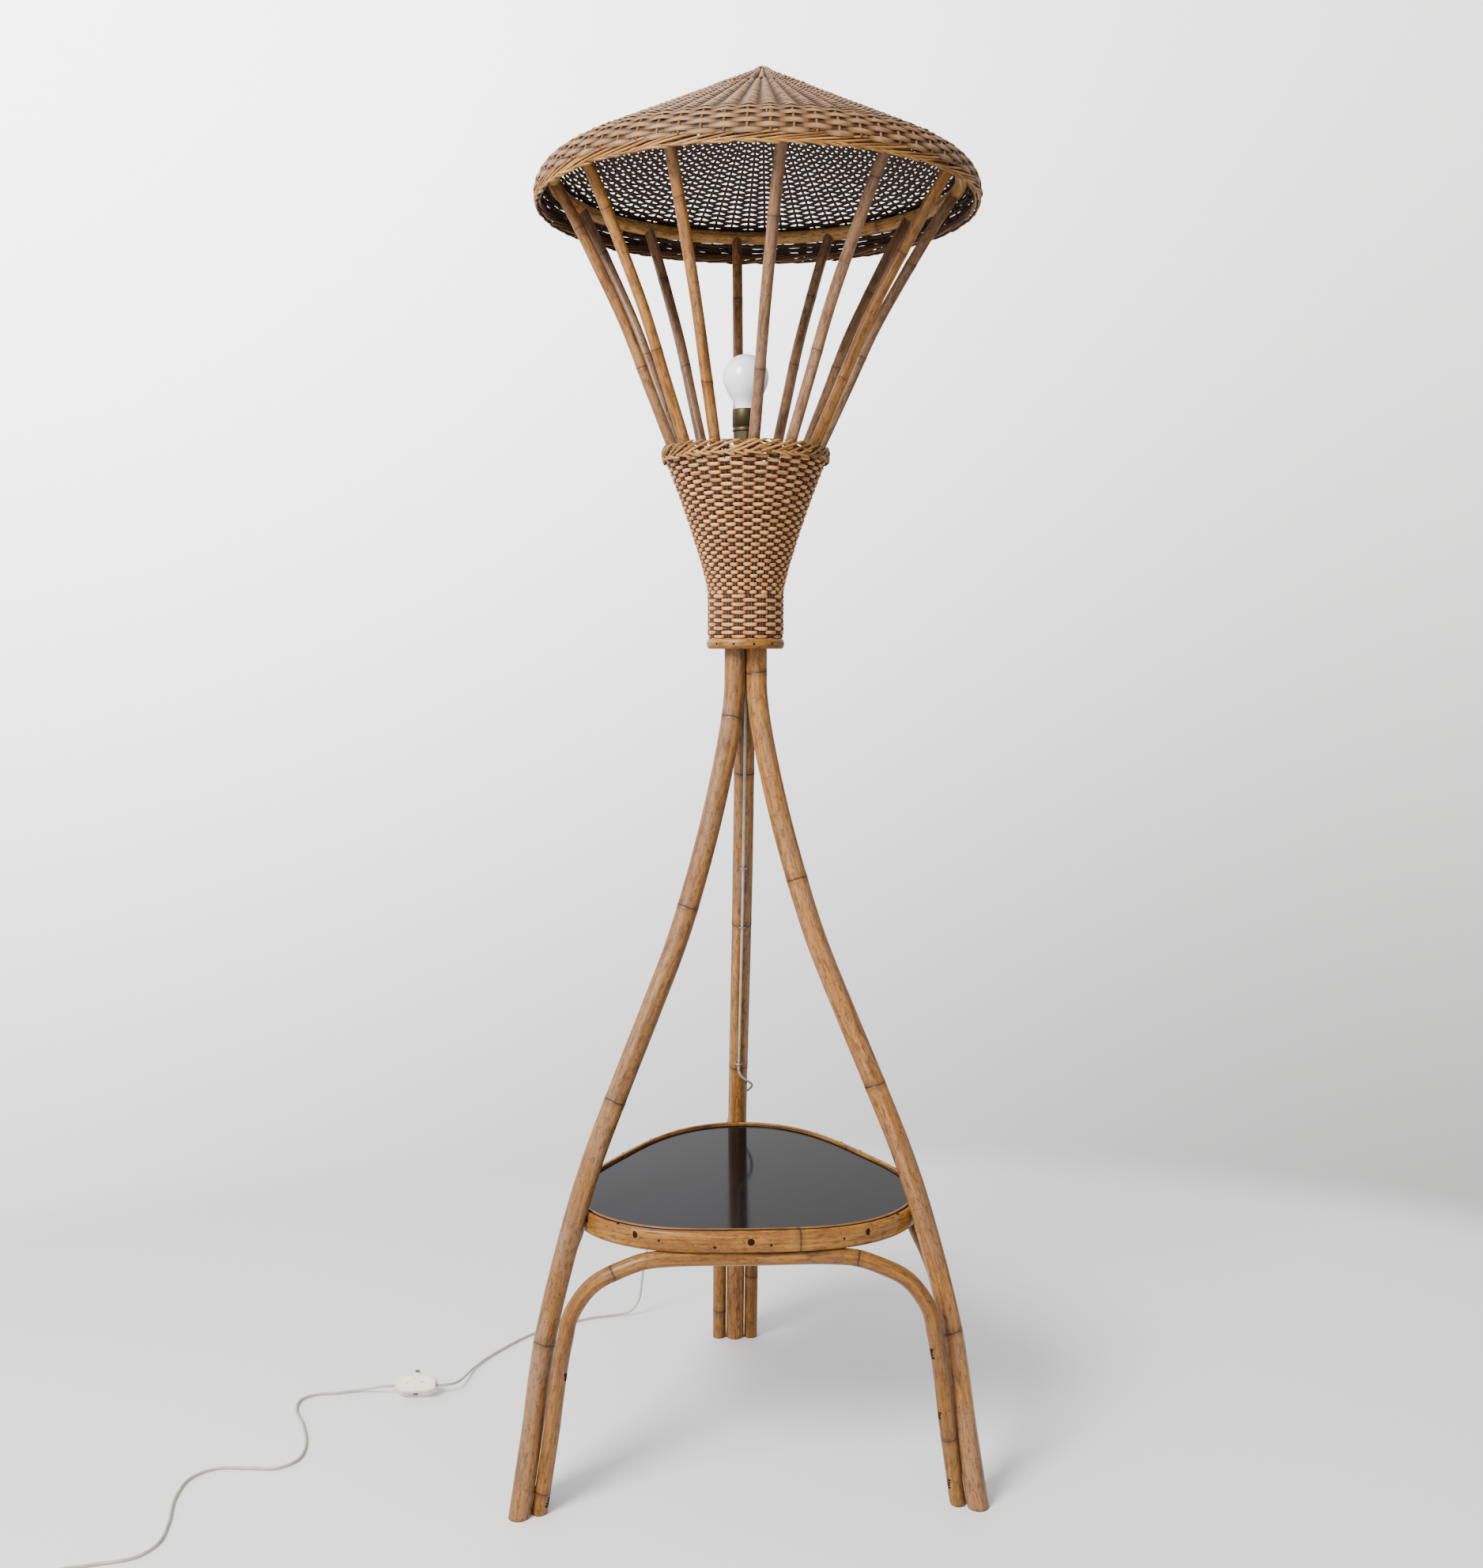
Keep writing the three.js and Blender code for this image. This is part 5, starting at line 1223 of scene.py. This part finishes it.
def studs(name, spots, radius, proud, material, slot):
    """Low domed heads on a surface: each spot holds a centre and the direction it faces. The
    dome's height falls as cos(u), its width grows as sin(u)."""
    u = np.linspace(0.02, math.pi / 2, 4)
    a = angles_round(10)[None, :, None]
    up = np.concatenate([np.cos(u) * proud, [-0.8]])[:, None, None]
    wide = np.concatenate([np.sin(u) * radius, [radius]])[:, None, None]
    parts = []
    for n, (centre, out) in enumerate(spots):
        out = unit(np.asarray(out, float))
        side = unit(np.cross(out, (0.1, 0.2, 1.0) if abs(out[2]) < 0.9 else (1.0, 0, 0)))
        points = centre + up * out + wide * (np.cos(a) * side + np.sin(a) * np.cross(out, side))
        parts.append(skin(f"{name}_{n}", points[::-1]))
    place(joined(name, parts), material, slot)


def rim_spot(degrees, drop, inset=0.0):
    """A place on the rim's outside, or as much inside of it, below the table's height."""
    angle = math.radians(degrees)
    return round_axis(table_radius(angle) - inset, TABLE_HEIGHT - drop, angle)


def outwards(degrees):
    """The level direction at an angle."""
    return round_axis(1, 0, math.radians(degrees))


RIM_PEGS = ((231.2, 10), (269.7, 14), (309.2, 11), (211.9, 9))
RIM_NAILS = ((276.8, 18), (239.1, 14), (257.1, 20), (301, 15))
TOP_NAILS = (113.2, 94, 80.8, 57.9, 44, 31, 7, 128, 148, 175, 200, 225, 322, 345)
ARCH_CHIPS = ((1, 206, 4), (1, 124, 3), (1, 33, 4), (-1, 184, 3), (-1, 20, 4))


def make_fasteners():
    studs("rim_pegs", [(rim_spot(d, drop), outwards(d)) for d, drop in RIM_PEGS], 4.5, 0.4,
          PEG_WOOD_AND_SHADE, "block_wood")
    small = [(rim_spot(d, drop), outwards(d)) for d, drop in RIM_NAILS]
    foot = np.array([0, 0, COLLAR_BOTTOM + 5])
    small += [(foot + outwards(d) * (NECK_RADIUS + FIT + 3.0), outwards(d))
              for d in range(10, 360, 30)]
    studs("small_nails", small, 1.7, 0.5, NAIL, "steel")
    studs("rim_top_nails", [(rim_spot(d, 1.7, 3.6), (0, 0, 1)) for d in TOP_NAILS], 2.0, 0.5,
          NAIL, "steel")
    chips = []
    out, front, height = np.array(front_arch_end()).T
    for side, at, count in ARCH_CHIPS:
        for step in range(count):
            rise = at + 3.6 * (step - count / 2)
            turn = 0.16 + 0.5 * math.sin(2.1 * rise)
            face = unit(np.array([-side, -0.6 - 0.35 * turn, 0]))
            centre = np.array([side * np.interp(rise, height, out),
                               -np.interp(rise, height, front), rise])
            chips.append((centre + face * (ARCH / 2 - 0.15), face))
    studs("arch_chips", chips, 2.9, 0.25, PEG_WOOD_AND_SHADE, "block_wood")


make_fasteners()

# Finishes of the solids that stay

SOLID_FINISHES = (
    (BLOCK, ("lamp_block",)), (CERAMIC, ("holder_insulator",)),
    (STEEL, ("nipple", "block_screw_", "cord_clip_", "switch_screw_", "plug_pin_")),
    (BRASS, ("holder_cap", "holder_thread", "holder_contact", "bulb_cap")),
    (BLACK, ("switch_bar_tip_", "cord_tie")), (SWITCH_CREAM, ("switch_", "plug")))
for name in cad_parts:
    finish = next((finish for finish, starts in SOLID_FINISHES if name.startswith(starts)), None)
    if finish:
        for slot in bpy.data.objects[name].material_slots:
            slot.material = finish

# Floor, backdrop and light


# The floor's middle and radius, and how far inside its edge it starts and ends to fade
STAGE_BACK = -1.25
STAGE_RADIUS = 2.6
FADE_START, FADE_END = 0.32, 0.02
KEY_PLACE, KEY_TARGET = Vector((-1.9, -2.3, 2.9)), Vector((0, 0, 0.8))
KEY_SIZE, KEY_POWER, KEY_TINT = 1.5, 330, (1, 0.97, 0.93)


def make_stage():
    """A pale floor whose far edge fades into the backdrop, and a soft key from the left."""
    r = np.linspace(0.001, STAGE_RADIUS, 40)[:, None]
    middle = np.array([0, STAGE_BACK / MM - FORWARD, -0.15])
    floor = skin("floor", round_axis(r / MM, 0, angles_round(96)) + middle, caps=False)
    shop = Shop(bpy.data.materials.new("floor_white"))
    x, y, _ = shop.node("ShaderNodeSeparateXYZ", {0: shop.spot()})
    y = y - STAGE_BACK
    away = (x * x + y * y) ** 0.5
    shop.set(Base_Color=(0.68, 0.68, 0.685), Roughness=0.6, Specular_IOR_Level=0.2)
    surface_out = Wire(shop, shop.tree.nodes["Principled BSDF"].outputs[0])
    clear = shop.node("ShaderNodeBsdfTransparent")[0]
    both = shop.node("ShaderNodeMixShader", {
        0: away.within(STAGE_RADIUS - FADE_START, STAGE_RADIUS - FADE_END), 1: surface_out,
        2: clear})[0]
    shop.feed(shop.tree.nodes["Material Output"].inputs[0], both)
    floor.data.materials.append(shop.owner)

    world = bpy.data.worlds.new("studio")
    bpy.context.scene.world = world
    sky = Shop(world)
    way = sky.node("ShaderNodeTexCoord")[0]
    x, _, z = sky.node("ShaderNodeSeparateXYZ", {0: way})
    left = 1 - x.within(-0.55, 0.55)
    low = z.within(-0.45, 0.42)
    high = z.within(0.45, 1.0)
    seen = sky.node("ShaderNodeLightPath")[0]
    bright = (left * 1.5 + 0.92) * (low * 1.95 + 0.72) * (1 - high * 0.55)
    bright = bright * (seen * 0.58 + 0.42)
    back = sky.tree.nodes["Background"]
    sky.feed(back.inputs[0], sky.layered((1.0, 0.985, 0.965), (left, (0.955, 0.965, 1.0))))
    sky.feed(back.inputs[1], bright)

    data = bpy.data.lights.new("key", "AREA")
    data.shape, data.size, data.energy, data.color = "DISK", KEY_SIZE, KEY_POWER, KEY_TINT
    light = bpy.data.objects.new("key", data)
    light.location = KEY_PLACE
    light.rotation_euler = (KEY_TARGET - KEY_PLACE).to_track_quat("-Z", "Y").to_euler()
    bpy.context.scene.collection.objects.link(light)


make_stage()
